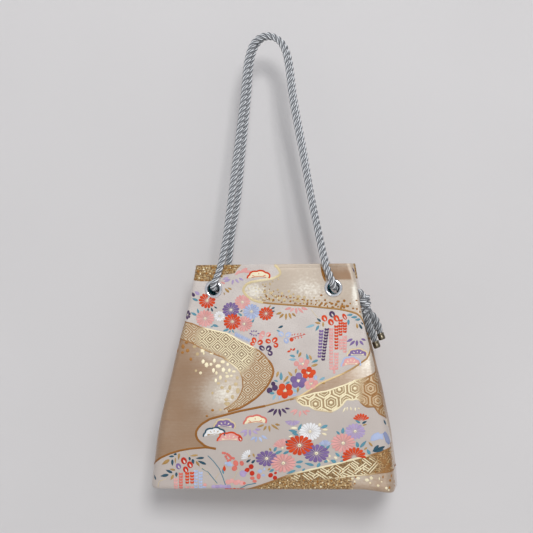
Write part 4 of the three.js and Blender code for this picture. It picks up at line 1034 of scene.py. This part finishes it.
# Strips of the cypress fence, from end to end
STRIPS = [
    (77.7, 231.6, 89.7, 222.2), (94.1, 231, 106.6, 221.1), (109.1, 230.2, 119.7, 216.9), (62.6, 232.2, 71.4, 224.7),
    (52.4, 230.3, 66.4, 239.7), (70.2, 229.1, 79.7, 236), (86.5, 228.4, 95.4, 233.5), (101, 230.3, 107.3, 233.5),
    (89, 221.6, 95.3, 226.6), (91.5, 218.5, 98.4, 222.8), (102.8, 215.8, 112.2, 221.7), (117.1, 210.3, 127.9, 216),
    (130.1, 206.1, 125.3, 211.2), (133.2, 217.8, 125.4, 227.4), (121.6, 223.5, 126.6, 227.9),
    (57, 226.3, 65.2, 231.1), (73.6, 223.7, 82.1, 229.2), (43.2, 230.6, 49.7, 234), (65.2, 236.3, 72.5, 239.3),
    (80.6, 232.1, 88.7, 235.5), (95.9, 225.4, 100.9, 228), (102.8, 224.1, 109.7, 227.8), (27.5, 233.2, 33, 236.3),
    (53.9, 232.7, 48.5, 236.5), (110.4, 213, 116.5, 216), (22.8, 236.3, 27.2, 239.5), (26.6, 235.7, 31.1, 238.2),
    (37.4, 232.5, 47.6, 240), (52.7, 230.3, 61.6, 236.2), (127.5, 205.2, 137.9, 212), (118, 210.2, 129.5, 219),
    (121.6, 222.8, 127.6, 227.5), (126.8, 226.4, 137.1, 216.4), (130.6, 211.8, 123, 221.7),
    (129.5, 223.4, 137, 227.5),
]
# Petals along the outside of the band: tip and foot
FAN = [
    (-41.4, 75.3, -42.6, 81.3), (-39.4, 76.2, -40.6, 82.1), (-37.4, 77.2, -38.7, 82.8), (-35.5, 78.2, -36.7, 83.6),
    (-33.5, 79.2, -34.8, 84.4), (-31.6, 80.2, -32.8, 85.2), (-29.6, 81.2, -30.9, 86), (-27.7, 82.1, -28.9, 86.8),
    (-25.7, 83.1, -27, 87.6),
]
# Middles of the clusters of petals with a slit
HEARTS = [(-17.6, 90.3), (-0.3, 88.2), (-6.5, 97.7), (13.8, 82.3), (-8.1, 81.5)]
# Lines of thread: thread, width and points
LINES = [
    ("teal", 0.9, [(-70.2, 212.5), (-63.5, 218.8), (-57.2, 226.7), (-53, 236.1), (-49.7, 244.8)]),
    ("teal", 0.9, [(-76.6, 226.8), (-69.6, 230.9), (-64, 237.5), (-59.1, 243.2)]),
    ("teal", 1.0, [(-33.3, 248.7), (-25.5, 244.7), (-15.2, 242.7)]),
    ("pale_gold", 0.5, [(-95, 208.1), (-92.6, 210.9), (-90.8, 214.2)]),
    ("pale_gold", 0.5, [(-35.1, 227.1), (-39, 234.8), (-42.4, 241.5), (-43.2, 247)]),
    ("pale_gold", 0.5, [(-117.6, 237.9), (-126.2, 241.3), (-127.5, 247.4)]),
    ("pale_gold", 0.5, [(-78.5, 226.8), (-76.7, 225.7), (-71, 230), (-68.6, 233.3), (-72.1, 233)]),
    ("pale_gold", 0.5, [(-59.4, 244.8), (-62.3, 240.4), (-59.2, 234.7), (-57.2, 231.6)]),
    ("coral", 0.8, [(20.2, 83.8), (25.8, 82.1), (31.4, 80.8), (37.6, 79.3)]),
    ("pale_gold", 0.5, [(43.7, 51.9), (47.7, 57.3), (51.2, 61.2)]),
    ("pale_gold", 0.5, [(132, 168.5), (132.8, 173), (134.2, 177.5)]),
]

# Threads: each colour of weft lies on the ground in thin raised patches, the same on both halves

# How near patches and lines come to an eyelet's middle, the rim, the middle of the base and the side seam
PATCH_CLEAR, LINE_CLEAR = 9.7, 10.5
PATCH_HIGHEST, LINE_HIGHEST = 0.5, 0.6
PATCH_LOWEST, LINE_LOWEST = 253, 251.5
PATCH_TO_SEAM, LINE_TO_SEAM = 0.4, 0.5
# Where a thread's edge ends, just under the face of the cloth
ROOT = -0.12
SHARP_THREAD = 70


def clear_of_eyelets(u, s):
    """How far a place is from the nearest eyelet, and its mirror image too, as threads lie on both halves."""
    return np.minimum(from_eyelets(u, s), from_eyelets(-u, s))


class Loom:
    """Patches of thread, kept by colour as points (u, s, height, shade) and faces, outwards on top."""

    def __init__(self):
        self.points = {}
        self.faces = {}
        self.counts = {}

    def start(self, thread, points, faces):
        first = self.counts.get(thread, 0)
        self.points.setdefault(thread, []).append(points)
        self.faces.setdefault(thread, []).extend(tuple(i + first for i in face) for face in faces)
        self.counts[thread] = first + len(points)

    def patch(self, thread, outline, height=0.2, shade=None):
        """A patch inside an outline that runs clockwise on the cloth: a rounded edge round a raised middle."""
        outline = np.asarray(outline, float)
        middle = outline.mean(0)
        reach = np.ptp(outline[:, 0]) / 2
        if clear_of_eyelets(*middle) < PATCH_CLEAR or middle[1] > PATCH_LOWEST:
            return
        if abs(middle[0]) + reach > seam_at(middle[1]) - PATCH_TO_SEAM or outline[:, 1].min() < PATCH_HIGHEST:
            return
        count = len(outline)
        shade = grain(*middle) if shade is None else shade
        points = []
        # Each ring's tone paints the patch darker at its edge and paler at its middle, as painted shade and light
        # on its rounding.
        steps = ((1.0, ROOT, -0.15), (1.0, height * 0.5, -0.15), (0.72, height, 0.05), (0.0, height * 1.15, 0.15))
        for share, level, tone in steps:
            ring = middle + (outline - middle) * share if share else middle[None]
            points.append(np.column_stack([ring, np.full(len(ring), level), np.full(len(ring), shade + tone)]))
        faces = [tuple(range(count))]
        for k in range(count):
            n = (k + 1) % count
            for ring in (0, count):
                faces.append((ring + k, ring + count + k, ring + count + n, ring + n))
            faces.append((2 * count + k, 3 * count, 2 * count + n))
        self.start(thread, np.vstack(points), faces)

    def band(self, thread, line, width, height=0.2, field=None, shade=None, step=1.8):
        """A band of thread along a line, only where it lies in a field if one is given."""
        line = np.asarray(line, float)
        length = np.r_[0, np.cumsum(np.hypot(*np.diff(line, axis=0).T))]
        at = np.linspace(0, length[-1], max(2, int(length[-1] / step) + 2))
        line = np.stack([np.interp(at, length, line[:, k]) for k in range(2)], 1)
        along = np.gradient(line, axis=0)
        along /= np.hypot(*along.T)[:, None]
        across = np.stack([-along[:, 1], along[:, 0]], 1)
        u, s = line.T
        clear = (clear_of_eyelets(u, s) > LINE_CLEAR) & (np.abs(u) < seam_at(s) - LINE_TO_SEAM)
        clear &= (s < LINE_LOWEST) & (s > LINE_HIGHEST)
        if field is not None:
            clear &= inside(field, u, s)
        run = []
        for k in range(len(line) + 1):
            if k < len(line) and clear[k]:
                run.append(k)
                continue
            if len(run) > 1:
                self.strip(thread, line[run], across[run], width, height, shade)
            run = []

    def strip(self, thread, line, across, width, height, shade):
        """An unbroken piece of a band, highest along its middle."""
        count = len(line)
        rows = []
        # A band's shade is its painted glint unless one is given, and each row's tone paints it darker at its edges
        # and paler along its middle, as painted shade and light.
        shades = shine(line[:, 0], line[:, 1]) if shade is None else np.full(count, shade)
        low = 0.4 * height
        steps = ((-0.5, ROOT, -0.22), (-0.5, low, -0.18), (0, height, 0.05), (0.5, low, -0.18), (0.5, ROOT, -0.22))
        for share, level, tone in steps:
            rows.append(np.column_stack([line + across * (width * share), np.full(count, level), shades + tone]))
        faces = []
        for row in range(5):
            here, next_row = row * count, (row + 1) % 5 * count
            faces += [(here + k, here + k + 1, next_row + k + 1, next_row + k) for k in range(count - 1)]
        faces.append(tuple(row * count for row in range(5)))
        faces.append(tuple(row * count + count - 1 for row in range(5))[::-1])
        self.start(thread, np.vstack(rows), faces)

    def weave(self, finishes):
        """Makes a piece of each thread, on the front and the back together."""
        for thread in sorted(self.points):
            points = np.vstack(self.points[thread])
            u, s, height, shade = points.T
            parts = [cloth_surface(-side * u, s, side, height) for side in SIDES.values()]
            faces = self.faces[thread] + [tuple(i + len(points) for i in face) for face in self.faces[thread]]
            name = f"thread_{thread}"
            piece = make_mesh(name, np.vstack(parts), faces, finishes[thread], SHARP_THREAD)
            add_vectors(piece, "cloth", np.tile(np.stack([u, s, shade], 1), (2, 1)))


def grain(u, s):
    """A steady scatter from 0.3 to 0.7 for a place."""
    return 0.3 + 0.4 * abs(math.sin(u * 12.9898 + s * 78.233) * 43758.5453 % 1)


def inside(polygon, u, s):
    """Whether places lie inside a polygon."""
    polygon = np.asarray(polygon, float)
    crossed = np.zeros(np.shape(u), bool)
    for (u0, s0), (u1, s1) in zip(polygon, np.roll(polygon, -1, 0)):
        if s0 != s1:
            crossed ^= ((s0 > s) != (s1 > s)) & (u < (u1 - u0) * (s - s0) / (s1 - s0) + u0)
    return crossed


def way_in(polygon, u, s):
    """How far inside a polygon places lie, less than nothing outside it."""
    polygon = np.asarray(polygon, float)
    nearest = np.full(np.shape(u), 1e9)
    for start, end in zip(polygon, np.roll(polygon, -1, 0)):
        edge = end - start
        t = np.clip(((u - start[0]) * edge[0] + (s - start[1]) * edge[1]) / max(edge @ edge, 1e-9), 0, 1)
        nearest = np.minimum(nearest, np.hypot(u - start[0] - t * edge[0], s - start[1] - t * edge[1]))
    return np.where(inside(polygon, u, s), nearest, -nearest)


def swell(u, s, spots):
    """Soft spots: middle, reach across and down, strength."""
    total = np.zeros(np.shape(u))
    for middle_u, middle_s, wide, high, strength in spots:
        total += strength * np.exp(-(((u - middle_u) / wide) ** 2) - ((s - middle_s) / high) ** 2)
    return total


# Soft spots of painted light: painted glints where the gold thread catches the light, and painted sheen and painted
# shade where the metallic silk is paler or darker
GLINTS = [
    (-62, 82, 30, 18, 0.9), (-34, 100, 17, 20, 0.85), (-52, 138, 26, 20, 0.5), (2, 24, 40, 14, 0.6),
    (55, 132, 34, 14, 0.85), (72, 152, 28, 14, 1.0), (38, 154, 14, 10, 0.35), (84, 222, 40, 16, 1.0),
    (34, 236, 30, 12, 0.45), (-20, 160, 60, 12, 0.25), (100, 120, 20, 20, 0.35),
]
GLEAMS = [
    (-48, 144, 25, 21, 0.6), (-38, 112, 18, 18, 0.42), (-66, 98, 20, 10, 0.35), (-62, 150, 16, 14, 0.2),
    (-100, 160, 14, 60, -0.02), (20, 148, 30, 9, -0.1), (100, 116, 16, 16, 0.12), (84, 236, 34, 9, 0.25),
    (-22, 30, 14, 9, 0.4), (42, 29, 20, 13, 0.3), (30, 6, 30, 5, 0.05), (108, 100, 12, 34, 0.2),
    (20, 150, 26, 9, -0.12), (92.6, 34, 3, 12, 0.7), (108, 90, 9, 50, 0.36), (-76, 6, 12, 8, 0.1),
]


def shine(u, s):
    """How brightly the gold thread catches the light, from amber at 0 to cream at 1."""
    return smoothstep((swell(u, s, GLINTS) - 0.3) / 0.3)


# Fields of metallic silk, and how light each is painted, as painted sheen. The brook runs beside the first part of
# the stream's edge, and the pond lies inside the last part.
FAR = 260
BROOK_END, POND_START = 16, 19
BAND = BAND_OUTSIDE + BAND_INSIDE[::-1]
POND = BAND_INSIDE + STREAM[POND_START:] + SHORE
BROOK = STREAM[:BROOK_END] + STREAM_FOOT
SHELL = STREAM_FOOT + SCALLOPS[::-1]
HEDGE = FENCE_TOP + [(FAR, 400), (-12, 400)]
POOL = POOL_TIP + POOL_FOOT + [(FAR, -9), (-1, -9)]
NOOK = [
    (-FAR, -9), (-30, -9), (-36, 0), (-42, 6), (-44, 9.8), (-56.6, 11.6), (-64, 15), (-72, 18.6), (-83.5, 18.6),
    (-93, 17.3), (-FAR, 17.3),
]
FIELDS = [(BAND, 0.45), (POND, 0.1), (BROOK, 0.16), (SHELL, 0.4), (HEDGE, 0.2), (POOL, 0.48), (NOOK, 0.35)]
# Smaller fields inside them: the shaded hem of the pool, the fence's rails and the gold meal at its foot
HEM = [(58, -9), (84.5, -9), (84.5, 1), (90.5, 19.5), (60, 19)]
RAILS = FENCE_TOP + FENCE_FOOT[::-1] + [(60, 240), (20, 246)]
MEAL = FENCE_FOOT[:5] + [(104, 226), (96, 240), (90, 260), (-20, 260), (-12, 247), (10, 240), (40, 231)]
MEAL_END, MEAL_FADE = 92, 8


def cloth_field(u, s):
    """The way into the metallic fields, how light their painted sheen and painted shade make them there, and how
    brightly their gold thread's painted glint shines.
    """
    ways = [way_in(field, u, s) for field, _ in FIELDS]
    tone = swell(u, s, GLEAMS)
    for (_, base), way in zip(FIELDS, ways):
        tone = tone + base * (way > 0)
    shade = 0.24 + 0.24 * smoothstep((s - 2) / 12)
    tone = tone - shade * smoothstep(way_in(HEM, u, s) / 1.5)
    return np.stack([np.max(ways, 0), np.clip(tone, 0, 1), shine(u, s)], 1)


def cloth_gold(u, s):
    """The way into the fields whose ground is gold thread: the band, the tortoiseshell and the mottled ones."""
    meal = np.minimum(way_in(MEAL, u, s), (MEAL_END - u) / MEAL_FADE)
    mottled = np.max([way_in(RAILS, u, s), meal, way_in(NOOK, u, s)], 0)
    return np.stack([way_in(BAND, u, s), way_in(SHELL, u, s), mottled], 1)


loom = Loom()


# A leaf's half width along it from its tip, and a petal's from its foot
LEAF_SHAPE = [(0, 0), (0.15, 0.38), (0.38, 0.84), (0.62, 1), (0.84, 0.72), (0.97, 0.25)]
PETAL_SHAPE = [(0.16, 0.3), (0.5, 0.72), (0.78, 1.0), (0.93, 0.86), (1.0, 0.36)]
# How much higher each layer of flowers lies, and how much flatter than wide a whole flower is drawn
LAYER, FLATTER = 0.13, 0.88


def leaf(thread, tip_u, tip_s, foot_u, foot_s, width=2.9, height=0.22):
    tip, foot = np.array((tip_u, tip_s)), np.array((foot_u, foot_s))
    along = foot - tip
    across = np.array((-along[1], along[0])) / np.hypot(*along) * width / 2
    right = [tip + along * t + across * w for t, w in LEAF_SHAPE]
    left = [tip + along * t - across * w for t, w in LEAF_SHAPE[:0:-1]]
    loom.patch(thread, (right + left)[::-1], height)


def disc(thread, u, s, wide, high, height=0.22, corners=12, shade=None, turn=0.0):
    """An ellipse of a few corners, turned by an angle in radians."""
    angle = np.arange(corners) * 2 * math.pi / corners + turn
    loom.patch(thread, np.stack([u + wide * np.cos(angle), s + high * np.sin(angle)], 1), height, shade)


def bud(thread, u, s, wide, high=None, layer=0):
    disc(thread, u, s, wide * 1.12, (high or wide) * 1.12, 0.22 + LAYER * layer)


def petal(thread, u, s, wide, high, direction, half_angle, height):
    """A drop-shaped petal of a flower drawn as an ellipse, its narrow end towards the middle."""
    edge = [(t, half_angle * w * min(1, 0.4 + 0.7 * t) / max(t, 0.5) * 0.86) for t, w in PETAL_SHAPE]
    points = [
        (u + wide * t * math.cos(direction + a), s - high * t * math.sin(direction + a))
        for t, a in edge + [(t, -a) for t, a in edge[::-1]]
    ]
    loom.patch(thread, points, height)


def chrysanthemum(thread, u, s, wide, high, petals, layer=0, first=0, last=360):
    """Petals from the first direction to the last, in degrees; a whole flower also has a middle."""
    height = 0.2 + LAYER * layer
    whole = last - first >= 360
    step = math.radians(last - first) / (petals if whole else petals - 1)
    high = high * FLATTER if whole else high
    for k in range(petals):
        direction = math.radians(first) + step * (k + (0.3 if whole else 0))
        petal(thread, u, s, wide, high, direction, step * 0.45, height)
    if whole:
        disc("pale_gold", u, s, 0.13 * wide, 0.13 * wide, height + 0.12, 10, 0.9)
        disc("gold", u, s, 0.06 * wide, 0.06 * wide, height + 0.2, 8, 0.2)


def slit_petal(thread, u, s, wide, high=None):
    """A petal with a slit that points to the middle of its neighbours."""
    high = high or wide
    aim = np.array(min(HEARTS, key=lambda place: math.hypot(place[0] - u, place[1] - s))) - (u, s)
    aim = aim if np.hypot(*aim) < 12 else np.zeros(2)
    aim = aim / np.hypot(*aim) if np.hypot(*aim) > 0.5 else np.array((0.5, 0.87))
    across = np.array((-aim[1], aim[0]))
    middle = np.array((u, s))
    angles = np.arange(12) * math.pi / 6
    edge = [middle + aim * high * 1.12 * math.cos(a) + across * wide * 0.94 * math.sin(a) for a in angles]
    loom.patch(thread, edge, 0.24)
    if s < 200 or u < -60:
        leaf("blank", *(middle - aim * high * 0.5), *(middle + aim * high * 0.95), wide * 0.62, 0.36)


def wisteria(thread, top_u, top_s, foot_u, foot_s):
    """A hanging cluster: pairs of petals that get smaller towards its foot."""
    length = math.hypot(foot_u - top_u, foot_s - top_s)
    count = max(1, round(length / 3.3))
    for k in range(count):
        share = (k + 0.5) / count
        u, s = lerp(top_u, foot_u, share), lerp(top_s, foot_s, share)
        size = lerp(1.15, 0.9, share)
        for turn in (-1, 1):
            leaf(thread, u + turn * 2.1 * size, s - 1.5, u + turn * 0.2, s + 1.3, 2.5 * size)


def pine(edge, filling, u, s, wide, high, tilt):
    """A clump of pine: a scalloped crown over a hollow foot, with needles."""
    lean = math.radians(tilt)

    def at(x, y):
        return u + x * math.cos(lean) - y * math.sin(lean), s - y * math.cos(lean) - x * math.sin(lean)

    def crown(scale):
        points = []
        for share in np.linspace(0, 1, 41):
            angle = math.pi * (1 - share)
            bump = scale * (1 - 0.13 * (1 - abs(math.sin(angle * 3.5)) ** 0.7))
            points.append(at(wide * bump * math.cos(angle), high * bump * abs(math.sin(angle)) ** 0.8))
        return points

    foot = [at(x, 0.12 * high * (1 - (x / wide) ** 2)) for x in np.linspace(0.78 * wide, -0.78 * wide, 9)[1:-1]]
    loom.patch(filling, crown(0.93) + foot, 0.2, 0.6)
    loom.band(edge, crown(0.97), 1.9, 0.36, None, 0.6, 1.0)
    thread = {"white": "old_gold", "pale_gold": "red"}.get(filling, "pale_gold")
    needles = 3 if filling == "pale_gold" else 5
    for k in range(needles):
        angle = math.pi * (k + 0.5) / needles
        ends = [at(wide * r * math.cos(angle), high * (0.08 + r * 0.92 * math.sin(angle))) for r in (0.42, 0.64)]
        loom.band(thread, ends, 1.4, 0.32, None, 0.55)
    stem = [at(-0.62 * wide, 0.14 * high), at(0, 0.24 * high), at(0.62 * wide, 0.14 * high)]
    loom.band(thread, stem, 0.9, 0.3, None, 0.5)


def diamond(u, s, wide, high, width, field):
    """The outline of a diamond, where it lies in the field."""
    corners = [(u, s - high), (u + wide, s), (u, s + high), (u - wide, s)]
    for ends in zip(corners, corners[1:] + corners[:1]):
        loom.band("gold", ends, width, 0.26, field, None, 2.2)


def hexagon(u, s, radius, width, height, field):
    """The outline of a hexagon, where it lies in the field."""
    angle = np.radians(np.arange(7) * 60 + 90 + 4.6)
    corners = np.stack([u + radius * np.cos(angle), s - radius * np.sin(angle)], 1)
    for ends in zip(corners, corners[1:]):
        loom.band("gold", ends, width, height, field, None, 2.0)


# Edges of the fields: thread, line and width. Amber covers the gold where an edge is in shade, as painted shade.
BAND_SHADED, STREAM_SHADED, PLUME_SPLIT = 13, 17, 8
EDGES = [
    ("gold", BAND_OUTSIDE, 1.6), ("amber", BAND_OUTSIDE[BAND_SHADED:], 2.5), ("gold", BAND_INSIDE, 1.5),
    ("stream_gold", STREAM, 1.8), ("amber", STREAM[STREAM_SHADED:], 2.5), ("gold", STREAM_FOOT, 1.8),
    ("gold", SCALLOPS, 1.8), ("gold", FENCE_TOP, 2.0), ("gold", FENCE_FOOT, 1.6), ("cream", POOL_TIP, 2.7),
    ("stream_gold", POOL_FOOT, 2.0), ("amber", SHORE, 2.2),
]


def draw(motif, table):
    """Draws a motif at every place that a table gives for a thread."""
    for thread, places in table.items():
        for place in places:
            motif(thread, *place)


draw(leaf, LEAVES)
for flower in FLOWERS:
    chrysanthemum(*flower)
draw(slit_petal, RINGS)
draw(bud, BUDS)
for tassel in TASSELS:
    wisteria(*tassel)
for clump in PINES:
    pine(*clump)
for thread, places in FLECKS.items():
    for k, (u, s, wide, *high) in enumerate(places):
        disc(thread, u, s, wide * 0.92, (high or [wide])[0] * 0.92, 0.24, 5 + k % 3, None, 5 * u)
for thread, width, points in LINES:
    loom.band(thread, points, width, 0.24)
for thread, points, width in EDGES:
    loom.band(thread, points, width, 0.32)
for ends in FAN:
    leaf("sky", *ends, 2.1, 0.24)
loom.patch("sky", PLUME[: PLUME_SPLIT + 1][::-1], 0.24, 0.5)
loom.patch("slate", PLUME[PLUME_SPLIT:][::-1], 0.26, 0.5)

# Nested diamonds in the band, a little flatter below its shoulder
DIAMOND_U, DIAMOND_S, DIAMOND_WIDE, DIAMOND_HIGH, FLAT_HIGH = -81.2, 75.4, 9.35, 8.5, 7.82
SHOULDER = 101
LATTICE_MARGIN = -9
for across in range(-4, 16):
    for down in range(-8, 9):
        u, s = DIAMOND_U + DIAMOND_WIDE * (across + down), DIAMOND_S + DIAMOND_HIGH * (across - down)
        high = DIAMOND_HIGH
        if s >= SHOULDER:
            u, s, high = u - 0.8, s - 0.08 * (s - SHOULDER), FLAT_HIGH
        if way_in(BAND, np.array([u]), np.array([s]))[0] > LATTICE_MARGIN:
            for share in (0.85, 0.5):
                diamond(u, s, DIAMOND_WIDE * share, high * share, 0.95, BAND)
            if inside(BAND, u, s):
                disc("gold", u, s, 1.7, 1.5, 0.26, 4, shine(np.array([u]), s)[0])

# Tortoiseshell hexagons, one inside the other round a spot
HEXAGON_MIDDLE, ALONG_ROW, TO_NEXT_ROW = np.array((67.6, 154.5)), np.array((17.1, -1.3)), np.array((9.0, -14.1))
for across in range(-4, 6):
    for down in range(-3, 3):
        u, s = HEXAGON_MIDDLE + ALONG_ROW * across + TO_NEXT_ROW * down
        if way_in(SHELL, np.array([u]), np.array([s]))[0] > LATTICE_MARGIN:
            hexagon(u, s, 7.7, 1.7, 0.28, SHELL)
            hexagon(u, s, 4.7, 0.8, 0.22, SHELL)
            if inside(SHELL, u, s):
                disc("gold", u, s, 1.9, 1.9, 0.26, 6, shine(np.array([u]), s)[0])

# Cypress fence: strips of two threads that cross in steps
THREAD_GAP = 2.4
for strip in STRIPS:
    ends = np.reshape(strip, (2, 2))
    along = (ends[1] - ends[0]) / np.linalg.norm(ends[1] - ends[0])
    for gap in (-THREAD_GAP / 2, THREAD_GAP / 2):
        loom.band("gold", ends + np.array((-along[1], along[0])) * gap, 1.15, 0.28, RAILS)


def scatter(kind, polygon, spacing, size, seed, tries=900):
    """Flecks of cut leaf at random in a field, a spacing apart."""
    chance = np.random.default_rng(seed)
    polygon = np.asarray(polygon, float)
    low, high = polygon.min(0), polygon.max(0)
    kept = []
    for u, s in low + chance.random((tries, 2)) * (high - low):
        if inside(polygon, u, s) and all(math.hypot(u - a, s - b) > spacing for a, b in kept):
            kept.append((u, s))
            wide, tall = size * (0.6 + 0.8 * chance.random(2))
            disc(kind, u, s, wide, tall, 0.24, 6 + len(kept) % 3, None, 5 * u)


scatter("old_gold", [(-92, 1), (-40, 1), (-50, 9), (-62, 15), (-92, 14)], 3.4, 1.0, 3)
scatter("old_gold", [(-10, 24), (-14, 41), (40, 46), (80, 50), (82, 46), (40, 41), (20, 38)], 4.2, 0.9, 6)
scatter("amber", RAILS, 6.2, 1.0, 8, 300)
scatter("pale_gold", [(-28, 24), (-28, 38), (-4, 43), (8, 42), (0, 30)], 3.6, 0.8, 9)
scatter("amber", [(-8, 33), (-12, 41), (40, 46), (82, 51), (86, 46), (40, 40), (10, 36)], 3.3, 1.15, 21)
scatter("pale_gold", MEAL, 5.0, 0.9, 11, 500)
scatter("amber", MEAL, 5.0, 0.9, 12, 400)

# Each thread's colour on its crown and at its edge, the ends between which its painted light and shade and its
# painted glint run
THREADS = {
    "red": ((218, 78, 28), (182, 44, 8)),
    "deep_red": ((204, 52, 20), (160, 26, 8)),
    "coral": ((222, 122, 108), (190, 84, 74)),
    "pink": ((228, 172, 168), (202, 128, 122)),
    "purple": ((134, 110, 162), (94, 72, 120)),
    "deep_purple": ((84, 60, 100), (50, 32, 60)),
    "lilac": ((186, 168, 204), (146, 126, 170)),
    "sky": ((186, 198, 224), (138, 152, 192)),
    "teal": ((104, 158, 176), (62, 112, 130)),
    "deep_teal": ((48, 88, 106), (26, 50, 64)),
    "pale_teal": ((152, 190, 204), (108, 152, 172)),
    "white": ((238, 238, 238), (206, 206, 208)),
    "pale_gold": ((242, 234, 204), (208, 190, 148)),
    "cream": ((240, 230, 200), (206, 188, 144)),
    "blank": ((222, 214, 204), (192, 182, 172)),
    "gold": ((234, 222, 186), (142, 94, 36)),
    "stream_gold": ((216, 190, 140), (156, 114, 58)),
    "slate": ((150, 158, 188), (106, 116, 152)),
    "fleck": ((212, 192, 152), (172, 146, 104)),
    "old_gold": ((180, 144, 84), (138, 98, 44)),
    "amber": ((166, 114, 46), (140, 88, 26)),
}
loom.weave({thread: thread_finish(thread, rgb(*light), rgb(*dark)) for thread, (light, dark) in THREADS.items()})

SHARP_CLOTH = 50
for name, side in SIDES.items():
    points, faces, kept = close_cloth(*cloth_half(side, 0.0, 1, 0.0, OUTER_CLOTH))
    u, s = kept[:, 0], kept[:, 1]
    shell = make_mesh(f"brocade_{name}", points, turned(faces, side), BROCADE, SHARP_CLOTH)
    add_vectors(shell, "cloth", np.stack([u, s, np.full(len(kept), side)], 1))
    add_vectors(shell, "field", cloth_field(-side * u, s))
    add_vectors(shell, "gold", cloth_gold(-side * u, s))
    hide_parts(f"outer_{name}")
    points, faces, _ = close_cloth(*cloth_half(side, LINING_RIM, 2, LINING_DEPTH, LINING_DEPTH + LINING_CLOTH))
    fabric = make_mesh(f"teal_lining_{name}", points, turned(faces, side), LINING, SHARP_CLOTH)
    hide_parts(f"lining_{name}")

# Eyelets: turned rings with a rolled flange outside and a flare inside, over washers that stay as they are built
EYELET_PROFILE = [
    (6.8, -4.1), (6.8, 1.3), (6.95, 1.75), (7.4, 2.15), (8.2, 2.38), (8.9, 2.35), (9.6, 2.0), (10.1, 1.4),
    (10.3, 0.8), (10.25, 0.4), (10.0, 0.3), (7.4, 0.3), (7.4, -3.4), (9.2, -3.4), (9.2, -3.85), (8.0, -4.5),
]
EYELET_SIDES = 72
SIDE_LEAN = math.atan(FLARE - (PINCH_COLLAR - PINCH_RIM) / COLLAR)


eyelets = {
    f"{side}_{end}": (turn * EYELET_U, out * RIM_HALF_DEPTH, EYELET_S, (0, out, 0))
    for side, out in SIDES.items()
    for end, turn in (("left", -1), ("right", 1))
}
eyelets["side"] = (SIDE_EYELET_X, 0, SIDE_EYELET_S, (math.cos(SIDE_LEAN), 0, math.sin(SIDE_LEAN)))
for name, (x, y, s, out) in eyelets.items():
    at = (BAG_X + x, y, RIM_Z - s - float(droop(x, y, s)))
    points, faces = lathe(EYELET_PROFILE[::-1], EYELET_SIDES, at, out)
    ring = make_mesh(f"ring_{name}", points, faces, CHROME, SHARP_METAL)
    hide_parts(f"eyelet_{name}")
    for slot in bpy.data.objects[f"washer_{name}"].material_slots:
        slot.material = CHROME

# Stage and light

WALL_GAP = 0.070

wall = bpy.data.objects.new("backdrop", bpy.data.meshes.new("backdrop"))
floor = bpy.data.objects.new("floor", bpy.data.meshes.new("floor"))
for stage, corners in (
    (wall, [(-4, 0, -1), (4, 0, -1), (4, 0, 4), (-4, 0, 4)]),
    (floor, [(-4, -4, -1), (4, -4, -1), (4, 4, -1), (-4, 4, -1)]),
):
    stage.data.from_pydata(corners, [], [(0, 1, 2, 3)])
    scene.collection.objects.link(stage)
wall.location = view_along * WALL_GAP
wall.rotation_euler = (0, 0, VIEW_TURN)


def stage_finish(name, colour, see_through):
    """Matt paint, which may be clear from behind and cast no shadow."""
    finish = Finish(name, roughness=0.9, specular_ior_level=0.1)
    patches = finish.noise(3.0).spread(0.3, 0.7)
    finish.feed("Base Color", finish.blend(patches, colour, tuple(c * 0.97 for c in colour)))
    if see_through:
        hidden = finish.node("ShaderNodeNewGeometry", output="Backfacing")
        shade = finish.node("ShaderNodeLightPath", output="Is Shadow Ray")
        clear = finish.node("ShaderNodeBsdfTransparent")
        plain = Wire(finish, finish.shader.outputs[0])
        both = finish.node("ShaderNodeMixShader", {}, {0: (hidden + shade).clipped(), 1: plain, 2: clear})
        finish.tree.links.new(both.socket, finish.tree.nodes["Material Output"].inputs["Surface"])
    return finish.material


wall.data.materials.append(stage_finish("wall_paint", rgb(206, 204, 204), True))
floor.data.materials.append(stage_finish("floor_paint", rgb(214, 212, 210), False))


def area_lamp(name, place, target, size, power):
    """A square lamp that points at the target."""
    lamp = bpy.data.lights.new(name, "AREA")
    lamp.shape = "RECTANGLE"
    lamp.size = lamp.size_y = size
    lamp.energy = power
    holder = bpy.data.objects.new(name, lamp)
    holder.location = place
    holder.rotation_euler = (Vector(target) - Vector(place)).to_track_quat("-Z", "Y").to_euler()
    scene.collection.objects.link(holder)


BAG_MIDDLE = (0, 0, -0.35)
area_lamp("window", (0.85, -3.0, 0.95), BAG_MIDDLE, 0.9, 62)
area_lamp("fill_back", (-0.6, 2.6, 0.6), BAG_MIDDLE, 1.6, 40)

world = bpy.data.worlds.new("studio")
scene.world = world
world.use_nodes = True
sky = world.node_tree.nodes["Background"]
sky.inputs["Color"].default_value = (0.93, 0.95, 1.0, 1)
sky.inputs["Strength"].default_value = 0.55
scene.view_settings.view_transform = "Standard"
